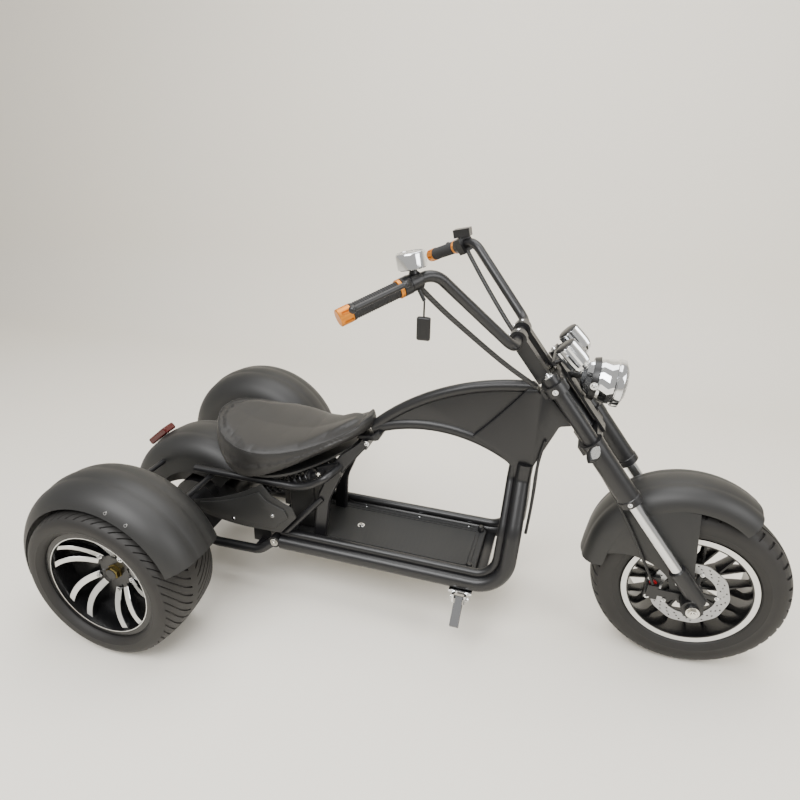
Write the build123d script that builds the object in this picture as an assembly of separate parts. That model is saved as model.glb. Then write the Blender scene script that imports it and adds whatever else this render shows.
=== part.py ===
from build123d import *
import os
from math import cos, hypot, pi, radians, sin, tan

# Electric chopper trike, modelled in millimetres.
# Every length along the machine is measured from the rear axle, x forward, y to the rider's left,
# z up from the floor. The finished pieces are moved so that x = 0 is the middle of the machine.

# Wheels and stance
WHEELBASE = 1465.0
FRONT_R = 243.0
FRONT_WIDTH = 128.0
REAR_R = 228.0
REAR_WIDTH = 222.0
REAR_TRACK = 812.0
RIM_R = 152.0
RIM_FLANGE = 12.0
RIM_WALL = 5.0
BEAD_GAP = 0.4
BEAD_SHARE = 0.80
REAR_Y = REAR_TRACK / 2

# Steering head. The fork frame has its z along the steering axis and its x forward of it.
RAKE = 38.0
HEAD_X = 1148.0
HEAD_Z = 650.0
HEAD_TUBE_R = 29.0
HEAD_TUBE_BORE = 17.0
HEAD_TUBE_LOW = -5.0
HEAD_TUBE_TOP = 135.0
STEM_R = 14.0
STEER_LIMIT = 35.0
HEAD_GAP = 1.0

# Fork
LEG_U = 18.0
LEG_V = 104.0
LEG_TUBE_R = 19.0
LEG_TOP = 182.0
YOKE_THICK = 26.0
SLEEVE_R = 27.0
SLEEVE_LOW = -192.0
SLEEVE_WALL = 4.0
SLIDER_R = 21.0
SLIDER_TOP = -400.0
AXLE_R = 8.0
AXLE_NUT_R = 13.0

# Handlebar, in the fork frame: along (u), across (v), up (w) and the bend radius at each corner
BAR_R = 12.5
BAR_CLAMP = (-3.0, 0.0, 275.0)
BAR_CORNERS = [
    (-8.0, 118.0, 284.0, 42.0),
    (-30.0, 222.0, 531.0, 50.0),
    (-200.0, 370.0, 568.0, 0.0),
]
GRIP_R = 17.0
GRIP_LONG = 118.0
GRIP_CAP_LONG = 30.0
RISER_V = 42.0
RISER_R = 14.0

# Frame
RAIL_Y = 131.0
RAIL_WIDE = 44.0
RAIL_HIGH = 64.0
RAIL_Z = 197.0
RAIL_REAR_X = 335.0
RAIL_FRONT_X = 992.0
RAIL_CORNER = 78.0
DECK_Z = 200.0
DECK_THICK = 14.0
DECK_GAP = 0.3
TANK_HALF = 24.0
TANK_TUBE_R = 19.0
DOWN_HALF = 40.0

# Seat
SEAT_NOSE_X = 582.0
SEAT_TAIL_X = 100.0
SEAT_HALF = 176.0

# Guards over the wheels
GUARD_WALL = 3.0
REAR_GUARD_R = 282.0
FRONT_GUARD_R = 276.0
MID_GUARD_R = 262.0
MID_GUARD_X = 22.0
MID_GUARD_Z = 196.0

REFLECTOR_THICK = 6.0
FACE_GAP = 0.3
REAR_REACH = REAR_GUARD_R + FACE_GAP + REFLECTOR_THICK
MIDDLE_X = (WHEELBASE + FRONT_R - REAR_REACH) / 2

os.makedirs("parts", exist_ok=True)

fork = Pos(HEAD_X, 0, HEAD_Z) * Rot(0, -RAKE, 0)
front_axle = Pos(WHEELBASE, 0, FRONT_R)
AXLE_DX = WHEELBASE - HEAD_X
AXLE_DZ = FRONT_R - HEAD_Z
AXLE_U = AXLE_DX * cos(radians(RAKE)) + AXLE_DZ * sin(radians(RAKE))
AXLE_W = -AXLE_DX * sin(radians(RAKE)) + AXLE_DZ * cos(radians(RAKE))


def save(name, *pieces):
    """Writes one node, moved so that the middle of the machine is at x = 0."""
    solids = []
    for piece in pieces:
        solids += list((Pos(-MIDDLE_X, 0, 0) * piece).solids())
    shape = solids[0] if len(solids) == 1 else Compound(children=solids)
    shape.label = name
    export_step(shape, f"parts/{name}.step")


def mirrored(piece):
    """The same piece on the other side of the machine."""
    return mirror(piece, about=Plane.XZ)


def both(piece):
    return [piece, mirrored(piece)]


def rod(start, end, radius):
    """A round bar from one point to another."""
    start = Vector(*start)
    along = Vector(*end) - start
    return Plane(origin=start, z_dir=along) * Pos(0, 0, along.length / 2) * Cylinder(radius, along.length)


def pipe(points, radius, bends):
    """A round tube along straight runs joined by arcs, one bend radius for each inner point."""
    path = FilletPolyline(*points, radius=bends)
    start = Plane(origin=path @ 0, z_dir=path % 0)
    return sweep(start * Circle(radius), path=path)


def turned(points, angle=360.0):
    """A closed profile of (across y, radius r) points turned about the y axis."""
    outline = Polyline(*[(r, y, 0) for y, r in points], close=True)
    face = make_face(outline)
    return revolve(face, axis=Axis.Y, revolution_arc=angle)


def ring(r_out, r_in, width, y=0.0):
    """A ring about the y axis, centred at y."""
    return Pos(0, y, 0) * Rot(90, 0, 0) * (Cylinder(r_out, width) - Cylinder(r_in, width * 2))


def disc(radius, width, y=0.0):
    return Pos(0, y, 0) * Rot(90, 0, 0) * Cylinder(radius, width)


def side_plate(face, y_low, y_high):
    """A flat piece with its outline in the side view, from y_low to y_high."""
    return extrude(Plane.XZ.offset(-y_high) * face, y_high - y_low)


def tyre(outer_r, width):
    """A road tyre about the y axis: round crown, bulged walls, beads on the rim."""
    half = width / 2
    bead = RIM_R + BEAD_GAP
    section = outer_r - RIM_R
    bead_half = half * BEAD_SHARE - BEAD_GAP
    flange = RIM_R + RIM_FLANGE
    wall = Vector(half, RIM_R + section * 0.48)
    shoulder = Vector(half * 0.80, outer_r - section * 0.13)
    seat = Line((bead_half, bead), (bead_half, flange))
    bulge = ThreePointArc((bead_half, flange), (half * 0.955, RIM_R + section * 0.27), (wall.X, wall.Y))
    upper = ThreePointArc((wall.X, wall.Y), (half * 0.955, outer_r - section * 0.27), (shoulder.X, shoulder.Y))
    crown = ThreePointArc((shoulder.X, shoulder.Y), (0, outer_r), (-shoulder.X, shoulder.Y))
    right = Curve() + [seat, bulge, upper]
    left = mirror(right, about=Plane.YZ)
    base = Line((-bead_half, bead), (bead_half, bead))
    face = make_face(Curve() + [seat, bulge, upper, crown, left, base])
    # The section is drawn as (across, radius) and laid so that its x is the wheel's y.
    laid = Plane(origin=(0, 0, 0), x_dir=(0, 1, 0), z_dir=(1, 0, 0)) * face
    return revolve(laid, axis=Axis.Y)


def rim_barrel(width):
    """The rim's barrel: two flanges, bead seats and a dropped middle."""
    half = width / 2 * BEAD_SHARE
    lip = RIM_R + RIM_FLANGE
    points = [
        (-half - RIM_WALL, lip), (-half, lip), (-half, RIM_R), (half, RIM_R), (half, lip),
        (half + RIM_WALL, lip), (half + RIM_WALL, RIM_R - RIM_WALL), (-half - RIM_WALL, RIM_R - RIM_WALL),
    ]
    return turned(points)


# Front wheel
FRONT_SPOKES = 10
FRONT_HUB_R = 34.0
FRONT_HUB_HALF = 48.0
DISC_R = 96.0
DISC_THICK = 4.0
DISC_Y = -58.0


def front_rim():
    """A cast rim with forked spokes."""
    wheel = rim_barrel(FRONT_WIDTH) + disc(FRONT_HUB_R, FRONT_HUB_HALF * 2)
    fork_r = 96.0
    reach = RIM_R - RIM_WALL / 2
    stem = Pos((FRONT_HUB_R + fork_r) / 2 - 5, 0, 0) * Box(fork_r - FRONT_HUB_R + 10, 26, 9)
    arm_long = hypot(reach - fork_r, 17)
    spoke = stem
    for side in (1, -1):
        arm = Pos(fork_r, 0, 0) * Rot(0, -side * 17, 0) * Pos(arm_long / 2, 0, 0) * Box(arm_long, 20, 7)
        spoke += arm
    for index in range(FRONT_SPOKES):
        wheel += Rot(0, index * 360 / FRONT_SPOKES, 0) * spoke
    return wheel - disc(AXLE_R + BEAD_GAP, 400)


def front_disc():
    plate = ring(DISC_R, DISC_R - 30, DISC_THICK, DISC_Y)
    for index in range(5):
        arm = Pos(0, DISC_Y, 0) * Rot(0, index * 72, 0) * Pos(50, 0, 0) * Box(42, DISC_THICK, 12)
        plate += arm
    carrier_wide = -DISC_Y + DISC_THICK / 2 - FRONT_HUB_HALF - BEAD_GAP
    carrier = ring(FRONT_HUB_R, AXLE_R + 6, carrier_wide, DISC_Y - DISC_THICK / 2 + carrier_wide / 2)
    return plate + carrier


save("front_rim", front_axle * front_rim())
save("front_tyre", front_axle * tyre(FRONT_R, FRONT_WIDTH))
save("front_disc", front_axle * front_disc())

# Rear wheels
REAR_SPOKES = 5
REAR_HUB_R = 50.0
REAR_HUB_Y = 22.0
REAR_HUB_THICK = 14.0
REAR_TIP_Y = 84.0
REAR_AXLE_R = 15.0


def rear_rim():
    """The left rim: a deep dish with paired spokes that lean out from the hub to the rim's edge."""
    wheel = rim_barrel(REAR_WIDTH)
    hub = ring(REAR_HUB_R, REAR_AXLE_R + BEAD_GAP, REAR_HUB_THICK, REAR_HUB_Y)
    wheel += hub
    reach = RIM_R - RIM_WALL / 2
    lean = REAR_TIP_Y - REAR_HUB_Y
    run = reach - REAR_HUB_R + 12
    for index in range(REAR_SPOKES):
        for twist in (-13, 13):
            spoke = (
                Rot(0, index * 72 + twist, 0)
                * Pos(REAR_HUB_R - 12, REAR_HUB_Y, 0)
                * Rot(0, 0, 0)
            )
            outline = Polyline((0, -6), (run, lean - 10), (run, lean), (0, 6), close=True)
            blade = extrude(make_face(outline), 7, both=True)
            wheel += spoke * blade
    return wheel


rear_rim_left = rear_rim()
for side, flip in (("left", 1), ("right", -1)):
    place = Pos(0, flip * REAR_Y, REAR_R)
    rim = rear_rim_left if flip == 1 else mirrored(rear_rim_left)
    save(f"rear_rim_{side}", place * rim)
    save(f"rear_tyre_{side}", place * tyre(REAR_R, REAR_WIDTH))

# Rear axle with its motor and reduction case
AXLE_TUBE_R = 26.0
AXLE_END_Y = REAR_Y + REAR_HUB_Y - REAR_HUB_THICK / 2 - 6
BRAKE_DRUM_R = 80.0
case = Rot(90, 0, 0) * Cylinder(72, 150)
axle = case + disc(AXLE_TUBE_R, AXLE_END_Y * 2 - 60)
axle += Pos(95, 30, 0) * Rot(90, 0, 0) * Cylinder(58, 150)
stubs = disc(REAR_AXLE_R, (REAR_Y + REAR_HUB_Y + REAR_HUB_THICK / 2 + 18) * 2)
drums = [disc(BRAKE_DRUM_R, 50, flip * (AXLE_END_Y - 26)) for flip in (1, -1)]
axle = axle + stubs + drums[0] + drums[1]
save("rear_axle", Pos(0, 0, REAR_R) * axle)

# Main frame: neck, down tube and the hollow-sided panel between seat and neck
neck = fork * Pos(0, 0, (HEAD_TUBE_LOW + HEAD_TUBE_TOP) / 2) * Cylinder(
    HEAD_TUBE_R, HEAD_TUBE_TOP - HEAD_TUBE_LOW
)
neck_bore = fork * Pos(0, 0, 60) * Cylinder(HEAD_TUBE_BORE, 400)
NOSE = (572, 545)
top_edge = ThreePointArc(NOSE, (802, 709), (1050, 732))
panel_front = Polyline((1050, 732), (1128, 640), (1085, 640), (1026, 502), (1016, 430))
panel_foot = Line((1016, 430), (980, 430))
panel_rear = Line((980, 430), (984, 494))
low_edge = ThreePointArc((984, 494), (800, 566), NOSE)
panel_face = make_face(Curve() + [top_edge, panel_front, panel_foot, panel_rear, low_edge])
panel = side_plate(panel_face, -TANK_HALF, TANK_HALF)
panel -= fork * Pos(0, 0, HEAD_TUBE_TOP - 5 + 100) * Box(400, 200, 200)
down_box = Pos(998, 0, 465) * Box(36, DOWN_HALF * 2, 70)
main_frame = (panel + neck + down_box) - neck_bore
main_frame -= Pos(SEAT_NOSE_X - 20 + 0.3, 0, 590) * Box(40, 100, 90)
save("main_frame", main_frame)


def rail(side):
    """One side rail with its rounded front corner, rising to the foot of the neck panel."""
    y = side * RAIL_Y
    points = [
        (RAIL_REAR_X, y, RAIL_Z),
        (RAIL_FRONT_X, y, RAIL_Z),
        (RAIL_FRONT_X + 8, side * 96, 350),
        (1000, side * 21, 462),
    ]
    path = FilletPolyline(*points, radius=[RAIL_CORNER, 60])
    start = Plane(origin=path @ 0, x_dir=(0, 1, 0), z_dir=path % 0)
    return sweep(start * RectangleRounded(RAIL_WIDE, RAIL_HIGH, 18), path=path)


lower = rail(1) + rail(-1)
lower = lower - Pos(RAIL_FRONT_X, 0, 540) * Box(600, 400, 220)
for x in (RAIL_REAR_X + 24, 640, 930):
    lower += Pos(x, 0, DECK_Z - DECK_THICK - DECK_GAP - 9) * Box(30, RAIL_Y * 2, 18)
save("lower_frame", lower)
DECK_FRONT_X = RAIL_FRONT_X - RAIL_CORNER + 2
deck = Pos((RAIL_REAR_X + DECK_FRONT_X) / 2, 0, DECK_Z - DECK_THICK / 2) * Box(
    DECK_FRONT_X - RAIL_REAR_X, (RAIL_Y - RAIL_WIDE / 2 - DECK_GAP) * 2, DECK_THICK
)
save("deck", deck)

# Battery tray under the deck, between the rails
BATTERY_LONG = 480.0
BATTERY_HIGH = 20.0
BATTERY_X = 785.0

# Seat, its pan and what carries it
SEAT_GAP = 0.4
seat_plan = [
    Line((SEAT_NOSE_X, 0), (SEAT_NOSE_X, 26)),
    ThreePointArc((SEAT_NOSE_X, 26), (576, 43), (558, 53)),
    Line((558, 53), (430, 118)),
    ThreePointArc((430, 118), (348, 160), (262, SEAT_HALF)),
    ThreePointArc((262, SEAT_HALF), (160, 148), (112, 92)),
    ThreePointArc((112, 92), (102, 48), (SEAT_TAIL_X, 0)),
]
plan_face = make_face(Curve() + seat_plan + [mirror(edge, about=Plane.XZ) for edge in seat_plan])
seat_top = ThreePointArc((SEAT_NOSE_X, 592), (400, 520), (250, 514))
seat_tail = ThreePointArc((250, 514), (160, 524), (SEAT_TAIL_X - 4, 560))
seat_back = Polyline((SEAT_TAIL_X - 4, 560), (SEAT_TAIL_X, 500), (150, 440))
seat_low = ThreePointArc((150, 440), (300, 418), (SEAT_NOSE_X, 548))
seat_nose = Line((SEAT_NOSE_X, 548), (SEAT_NOSE_X, 592))
seat_profile = make_face(Curve() + [seat_top, seat_tail, seat_back, seat_low, seat_nose])
seat = extrude(plan_face, 900) & side_plate(seat_profile, -SEAT_HALF - 20, SEAT_HALF + 20)
save("seat_cushion", seat)

battery = Pos(BATTERY_X, 0, DECK_Z - DECK_THICK - DECK_GAP - BATTERY_HIGH / 2) * Box(
    250, (RAIL_Y - RAIL_WIDE / 2) * 2 - 8, BATTERY_HIGH
)
save("battery_tray", battery)

PAN_THICK = 7.0


def seat_underside(drop):
    """The arc of the seat's underside, lowered."""
    return ThreePointArc((150, 440 - drop), (300, 418 - drop), (SEAT_NOSE_X, 548 - drop))


def under_seat(drop, depth):
    """A side-view band below the seat, or a large area above the arc where depth is negative."""
    upper, lower = seat_underside(drop), seat_underside(drop + depth)
    ends = [Line(upper @ 0, lower @ 0), Line(upper @ 1, lower @ 1)]
    return make_face(Curve() + [upper, lower] + ends)


pan_face = under_seat(SEAT_GAP, PAN_THICK)
over_pan = under_seat(SEAT_GAP + PAN_THICK + SEAT_GAP, -300)
small_plan = scale(plan_face, by=0.84).moved(Location((54, 0, 0)))
seat_pan = extrude(small_plan, 900) & side_plate(pan_face, -SEAT_HALF, SEAT_HALF)
save("seat_pan", seat_pan)

# Seat posts: bent plates from the panel's nose down to the deck
POST_WIDE = 40.0
POST_THICK = 18.0


def post(side):
    points = [
        (566, side * 36, 522),
        (500, side * 58, 440),
        (452, side * 74, 330),
        (440, side * 84, DECK_Z - 8),
    ]
    path = FilletPolyline(*points, radius=[140, 140])
    start = Plane(origin=path @ 0, x_dir=(0, 1, 0), z_dir=path % 0)
    return sweep(start * RectangleRounded(POST_THICK, POST_WIDE, 7), path=path)



# Seat rails carry the seat and the middle guard
MID_GUARD_HALF = 100.0
SEAT_RAIL_Y = 128.0
SEAT_RAIL_R = 11.0
STAY_R = 8.0
STAY_Z = 368.0
SEAT_RAIL_Z = STAY_Z + STAY_R + SEAT_RAIL_R + 0.3


def seat_rail(side):
    points = [
        (505, side * 56, 440),
        (484, side * 122, 430),
        (420, side * SEAT_RAIL_Y, SEAT_RAIL_Z),
        (60, side * SEAT_RAIL_Y, SEAT_RAIL_Z),
    ]
    return pipe(points, SEAT_RAIL_R, [30, 150])


seat_frame = post(1) + post(-1) + seat_rail(1) + seat_rail(-1)
seat_frame += Pos(505, 0, 440) * Rot(90, 0, 0) * Cylinder(12, 112)
seat_frame += Pos(556, 0, 506) * Box(40, 84, 22)
shock_lug = make_face(Polyline((438, 405), (438, 433), (500, 455), (512, 415), close=True))
for side in (1, -1):
    low, high = sorted((side * 64, side * 79.7))
    seat_frame += side_plate(shock_lug, low, high)
    seat_frame += rod((352, side * 134, 226), (450, side * 80, 331), 10)
seat_frame -= side_plate(over_pan, -300, 300)
seat_frame -= Pos(440, 0, DECK_Z + 0.3 - 50) * Box(110, 300, 100)
seat_frame -= Pos(340, 0, RAIL_Z + RAIL_HIGH / 2 + FACE_GAP - 50) * Box(89, 340, 100)
save("seat_frame", seat_frame)

# Rear suspension: swinging arm, its axle plates and the two spring legs
ARM_Y = 150.0
ARM_R = 14.0


def arm(side):
    """One side of the swinging arm: its tube, front eye, axle plate and shock bracket."""
    y = side * ARM_Y
    eye_x = RAIL_REAR_X - 18.3
    points = [(eye_x, side * RAIL_Y, 188), (270, y, 153), (120, y, 148), (20, y, 176)]
    tube = pipe(points, ARM_R, [50, 60])
    plate_outline = Polyline((-45, 150), (65, 140), (150, 240), (150, 290), (-20, 270), close=True)
    low, high = sorted((side * (ARM_Y - 6), side * (ARM_Y + 6)))
    plate = side_plate(make_face(plate_outline), low, high)
    plate -= Pos(0, y, REAR_R) * Rot(90, 0, 0) * Cylinder(AXLE_TUBE_R + FACE_GAP, 40)
    eye = Pos(eye_x, side * RAIL_Y, 188) * Rot(90, 0, 0) * Cylinder(18, 30)
    bracket_outline = Polyline((225, 150), (292, 150), (262, 336), (230, 336), close=True)
    low, high = sorted((side * (SHOCK_Y + 10.5), side * (SHOCK_Y + 17)))
    return tube + plate + eye + side_plate(make_face(bracket_outline), low, high)


SHOCK_Y = 90.0
SHOCK_TOP = (452.0, 419.0)
SHOCK_FOOT = (246.0, 322.0)
arms = arm(1) + arm(-1) + Pos(258, 0, 153) * Rot(90, 0, 0) * Cylinder(12, ARM_Y * 2)
save("swing_arm", arms)


SHOCK_COILS = 8


def shock(side):
    """A spring leg: one turned body with a bulge for each coil, and an eye at each end."""
    top = Vector(SHOCK_TOP[0], side * SHOCK_Y, SHOCK_TOP[1])
    foot = Vector(SHOCK_FOOT[0], side * SHOCK_Y, SHOCK_FOOT[1])
    long = (foot - top).length
    first, last = 30.0, long - 30.0
    pitch = (last - first) / SHOCK_COILS
    edges = [Line((0, 6), (9, 6)), Line((9, 6), (9, first - 5)), Line((9, first - 5), (22, first - 5))]
    edges += [Line((22, first - 5), (22, first)), Line((22, first), (14, first))]
    for index in range(SHOCK_COILS):
        low, high = first + index * pitch, first + (index + 1) * pitch
        edges.append(ThreePointArc((14, low), (21, (low + high) / 2), (14, high)))
    edges += [Line((14, last), (22, last)), Line((22, last), (22, last + 5)), Line((22, last + 5), (9, last + 5))]
    edges += [Line((9, last + 5), (9, long - 6)), Line((9, long - 6), (0, long - 6)), Line((0, long - 6), (0, 6))]
    body = revolve(Plane.XZ * make_face(Curve() + edges), axis=Axis.Z)
    leg = Plane(origin=top, z_dir=foot - top) * body
    for x, z in (SHOCK_TOP, SHOCK_FOOT):
        leg += Pos(x, side * SHOCK_Y, z) * Rot(90, 0, 0) * Cylinder(13, 20)
    return leg


save("rear_shocks", shock(1), shock(-1))

controller = Pos(374, 0, DECK_Z + FACE_GAP + 86) * Box(84, 122, 172)
save("controller_box", fillet(controller.edges(), 8))


def side_cover(side):
    top = ThreePointArc((62, 292), (175, 322), (290, 372))
    end = Polyline((290, 372), (306, 345), (262, 240))
    low = ThreePointArc((262, 240), (160, 246), (62, 262))
    face = make_face(Curve() + [top, end, low, Line((62, 262), (62, 292))])
    inner, outer = sorted((side * (ARM_Y + 6.3), side * (ARM_Y + 11.3)))
    return side_plate(face, inner, outer)


save("side_covers", side_cover(1), side_cover(-1))


def guard_section(half, crown_r, shoulder, low_out, low_in):
    """A guard's shell section in (across, radius): round crown, rounded shoulders, thin wall."""
    base = min(low_out, low_in) - 20
    crown = ThreePointArc((-half + shoulder, crown_r - 4), (0, crown_r), (half - shoulder, crown_r - 4))
    right = ThreePointArc(
        (half - shoulder, crown_r - 4),
        (half - shoulder * 0.26, crown_r - 4 - shoulder * 0.3),
        (half, crown_r - 4 - shoulder),
    )
    left = mirror(right, about=Plane.YZ)
    sides = Polyline(
        (half, crown_r - 4 - shoulder), (half, base), (-half, base), (-half, crown_r - 4 - shoulder)
    )
    whole = make_face(Curve() + [crown, right, sides, left])
    band = whole - offset(whole, -GUARD_WALL)
    band -= Pos(half / 2 + 0.5, base + (low_out - base) / 2 - 5) * Rectangle(half + 1, low_out - base + 10)
    band -= Pos(-half / 2 - 0.5, base + (low_in - base) / 2 - 5) * Rectangle(half + 1, low_in - base + 10)
    return band


def guard(section, front_angle, rear_angle):
    """A guard turned about the y axis between two angles above the horizontal, front and rear."""
    laid = Plane(origin=(0, 0, 0), x_dir=(0, 1, 0), z_dir=(1, 0, 0)) * section
    return Rot(0, 90 - rear_angle, 0) * revolve(laid, axis=Axis.Y, revolution_arc=rear_angle - front_angle)


REAR_GUARD_HALF = 110.0
REAR_GUARD_IN = 284.0
rear_section = guard_section(REAR_GUARD_HALF, REAR_GUARD_R, 55, 230, 150)
rear_guard_right_shape = guard(rear_section, 20, 180)
guard_y = REAR_GUARD_IN + REAR_GUARD_HALF
save("rear_fender_left", Pos(0, guard_y, REAR_R) * rear_guard_right_shape)
save("rear_fender_right", mirrored(Pos(0, guard_y, REAR_R) * rear_guard_right_shape))
mid_section = guard_section(MID_GUARD_HALF, MID_GUARD_R, 48, 190, 190)
mid_guard = Pos(MID_GUARD_X, 0, MID_GUARD_Z) * guard(mid_section, 50, 188)
save("rear_mudguard", mid_guard)

stays = []
for side in (1, -1):
    for x in (-80, 110):
        start = (x, side * (MID_GUARD_HALF + 0.3), STAY_Z)
        stays.append(rod(start, (x, side * (REAR_GUARD_IN - 0.3), STAY_Z), STAY_R))
save("fender_stays", *stays)

lamp_place = Pos(MID_GUARD_X, 0, MID_GUARD_Z) * Rot(0, -40, 0) * Pos(0, 0, MID_GUARD_R + 11.3)
save("tail_lamp", lamp_place * fillet(Box(90, 48, 22).edges(), 6))
PLATE_HOLE_R = 3.5
PLATE_HOLE_Y = 60.0
plate_arm = Pos(MID_GUARD_X - MID_GUARD_R - FACE_GAP - 4, 0, MID_GUARD_Z + 26) * Box(8, 150, 60)
for side in (1, -1):
    plate_arm -= Pos(MID_GUARD_X - MID_GUARD_R, side * PLATE_HOLE_Y, MID_GUARD_Z + 36) * Rot(0, 90, 0) * Cylinder(
        PLATE_HOLE_R, 40
    )
save("plate_bracket", plate_arm)

# Foot pegs that fold on brackets under the rails
PEG_X = 888.0
PEG_Z = 146.0
PEG_PIN_R = 4.0


def peg_bracket(side):
    base = Pos(PEG_X, side * 136, RAIL_Z - RAIL_HIGH / 2 - 4.3) * Box(64, 34, 8)
    ears = [Pos(PEG_X + dx, side * 156, PEG_Z + 3) * Box(6, 24, 28) for dx in (-17, 17)]
    bracket = base + ears[0] + ears[1] + Pos(PEG_X, side * 142, PEG_Z + 13) * Box(40, 6, 10)
    return bracket - Pos(PEG_X, side * 156, PEG_Z) * Rot(0, 90, 0) * Cylinder(PEG_PIN_R + 0.1, 60)


save("footpeg_brackets", peg_bracket(1), peg_bracket(-1))
for side, flip in (("left", 1), ("right", -1)):
    pin = Pos(PEG_X, flip * 156, PEG_Z) * Rot(0, 90, 0) * Cylinder(PEG_PIN_R, 44)
    blade = Pos(PEG_X, flip * 156, PEG_Z) * Rot(flip * -38, 0, 0) * Pos(0, flip * 48, 0) * Box(24, 60, 16)
    eye = Pos(PEG_X, flip * 156, PEG_Z) * Rot(flip * -38, 0, 0) * Pos(0, flip * 8, 0) * Box(20, 20, 10)
    save(f"footpeg_{side}", pin + blade + eye)

# Steering assembly, drawn in the fork frame


def yoke(low, high):
    plate = Pos(8, 0, (low + high) / 2) * Box(52, LEG_V * 2, high - low)
    for side in (1, -1):
        plate += Pos(LEG_U, side * LEG_V, (low + high) / 2) * Cylinder(LEG_TUBE_R + 9, high - low)
    plate += Pos(0, 0, (low + high) / 2) * Cylinder(HEAD_TUBE_R + 4, high - low)
    for side in (1, -1):
        plate -= Pos(LEG_U, side * LEG_V, (low + high) / 2) * Cylinder(LEG_TUBE_R + 0.3, 200)
    return plate


lower_high = HEAD_TUBE_LOW - HEAD_GAP
upper_low = HEAD_TUBE_TOP + HEAD_GAP
lower_yoke = yoke(lower_high - YOKE_THICK, lower_high)
lower_yoke += Pos(0, 0, (lower_high + upper_low) / 2) * Cylinder(STEM_R, upper_low - lower_high)
save("lower_yoke", fork * lower_yoke)
upper_yoke = yoke(upper_low + 0.3, upper_low + YOKE_THICK)
save("upper_yoke", fork * upper_yoke)

tubes, sleeves = [], []
lug_y = LEG_V
for side in (1, -1):
    leg = Pos(LEG_U, side * LEG_V, (LEG_TOP + SLEEVE_LOW + 8) / 2) * Cylinder(LEG_TUBE_R, LEG_TOP - SLEEVE_LOW - 8)
    leg += Pos(LEG_U, side * LEG_V, (SLEEVE_LOW + SLIDER_TOP) / 2) * Cylinder(15, SLEEVE_LOW - SLIDER_TOP + 20)
    tubes.append(fork * leg)
    high = lower_high - YOKE_THICK - 0.3
    sleeve = Pos(LEG_U, side * LEG_V, (high + SLEEVE_LOW) / 2) * (
        Cylinder(SLEEVE_R, high - SLEEVE_LOW) - Cylinder(LEG_TUBE_R + 0.3, 400)
    )
    sleeves.append(fork * sleeve)
save("fork_tubes", *tubes)
save("fork_sleeves", *sleeves)
lugs = []
for side in (1, -1):
    lug = Pos(LEG_U, side * LEG_V, (SLIDER_TOP - 10.3 + AXLE_W) / 2) * Cylinder(SLIDER_R, SLIDER_TOP - 10.3 - AXLE_W)
    lug += Pos(AXLE_U, side * LEG_V, AXLE_W) * Rot(90, 0, 0) * Cylinder(26, 40)
    lug -= Pos(AXLE_U, side * LEG_V, AXLE_W) * Rot(90, 0, 0) * Cylinder(AXLE_R + 0.3, 80)
    lugs.append(fork * lug)
save("fork_feet", *lugs)
spindle = disc(AXLE_R, (LEG_V + 30) * 2) + disc(AXLE_NUT_R, 8, LEG_V + 24.5) + disc(AXLE_NUT_R, 8, -LEG_V - 24.5)
save("front_axle", front_axle * spindle)

FRONT_GUARD_HALF = 78.0
front_section = guard_section(FRONT_GUARD_HALF, FRONT_GUARD_R, 40, 216, 216)
front_guard = guard(front_section, 62, 172)
plate_outline = Polyline((70, 225), (48, 10), (22, -24), (-26, -24), (-46, 8), (-72, 156))
skirt_low = ThreePointArc((-72, 156), (-130, 112), (-168, 36))
skirt_end = Polyline((-168, 36), (-216, 38), (-170, 150), (-60, 232), (70, 225))
plate_face = make_face(Curve() + [plate_outline, skirt_low, skirt_end])
for side in (1, -1):
    low, high = sorted((side * (FRONT_GUARD_HALF - 4), side * FRONT_GUARD_HALF))
    front_guard += side_plate(plate_face, low, high)
front_guard -= disc(AXLE_R + 0.3, 400)
save("front_fender", front_axle * front_guard)

# Handlebar and what it carries
bar_points = [(u, -v, w) for u, v, w, bend in reversed(BAR_CORNERS)] + [(u, v, w) for u, v, w, bend in BAR_CORNERS]
bar_bends = [bend for u, v, w, bend in reversed(BAR_CORNERS[:2])] + [bend for u, v, w, bend in BAR_CORNERS[:2]]
grip_end = Vector(*bar_points[-1])
grip_along = (grip_end - Vector(*bar_points[-2])).normalized()
bar_end = grip_end - grip_along * GRIP_CAP_LONG
bar_points[-1] = (bar_end.X, bar_end.Y, bar_end.Z)
bar_points[0] = (bar_end.X, -bar_end.Y, bar_end.Z)
save("handlebar", fork * pipe(bar_points, BAR_R, bar_bends))
left_grip_frame = Plane(origin=bar_end, z_dir=grip_along)
grip = left_grip_frame * Pos(0, 0, -GRIP_LONG / 2) * (Cylinder(GRIP_R, GRIP_LONG) - Cylinder(BAR_R + 0.3, GRIP_LONG * 2))
cap = left_grip_frame * Pos(0, 0, 0.3 + GRIP_CAP_LONG / 2) * Cylinder(GRIP_R + 1.5, GRIP_CAP_LONG - 0.6)
save("grips", fork * grip, fork * mirrored(grip))
save("grip_caps", fork * cap, fork * mirrored(cap))

bar_u, _, bar_w, _ = BAR_CORNERS[0]
risers = []
riser_low = upper_low + YOKE_THICK + 0.3
for side in (1, -1):
    riser = Pos(bar_u, side * RISER_V, (riser_low + bar_w) / 2) * Box(34, 30, bar_w - riser_low)
    riser += Pos(bar_u, side * RISER_V, bar_w) * Rot(90, 0, 0) * Cylinder(22, 30)
    riser -= Pos(bar_u, side * RISER_V, bar_w) * Rot(90, 0, 0) * Cylinder(BAR_R + 0.3, 60)
    risers.append(riser)
risers = risers[0] + risers[1] + Pos(bar_u, 0, riser_low + 14) * Box(20, RISER_V * 2, 16)
save("risers", fork * risers)

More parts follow.
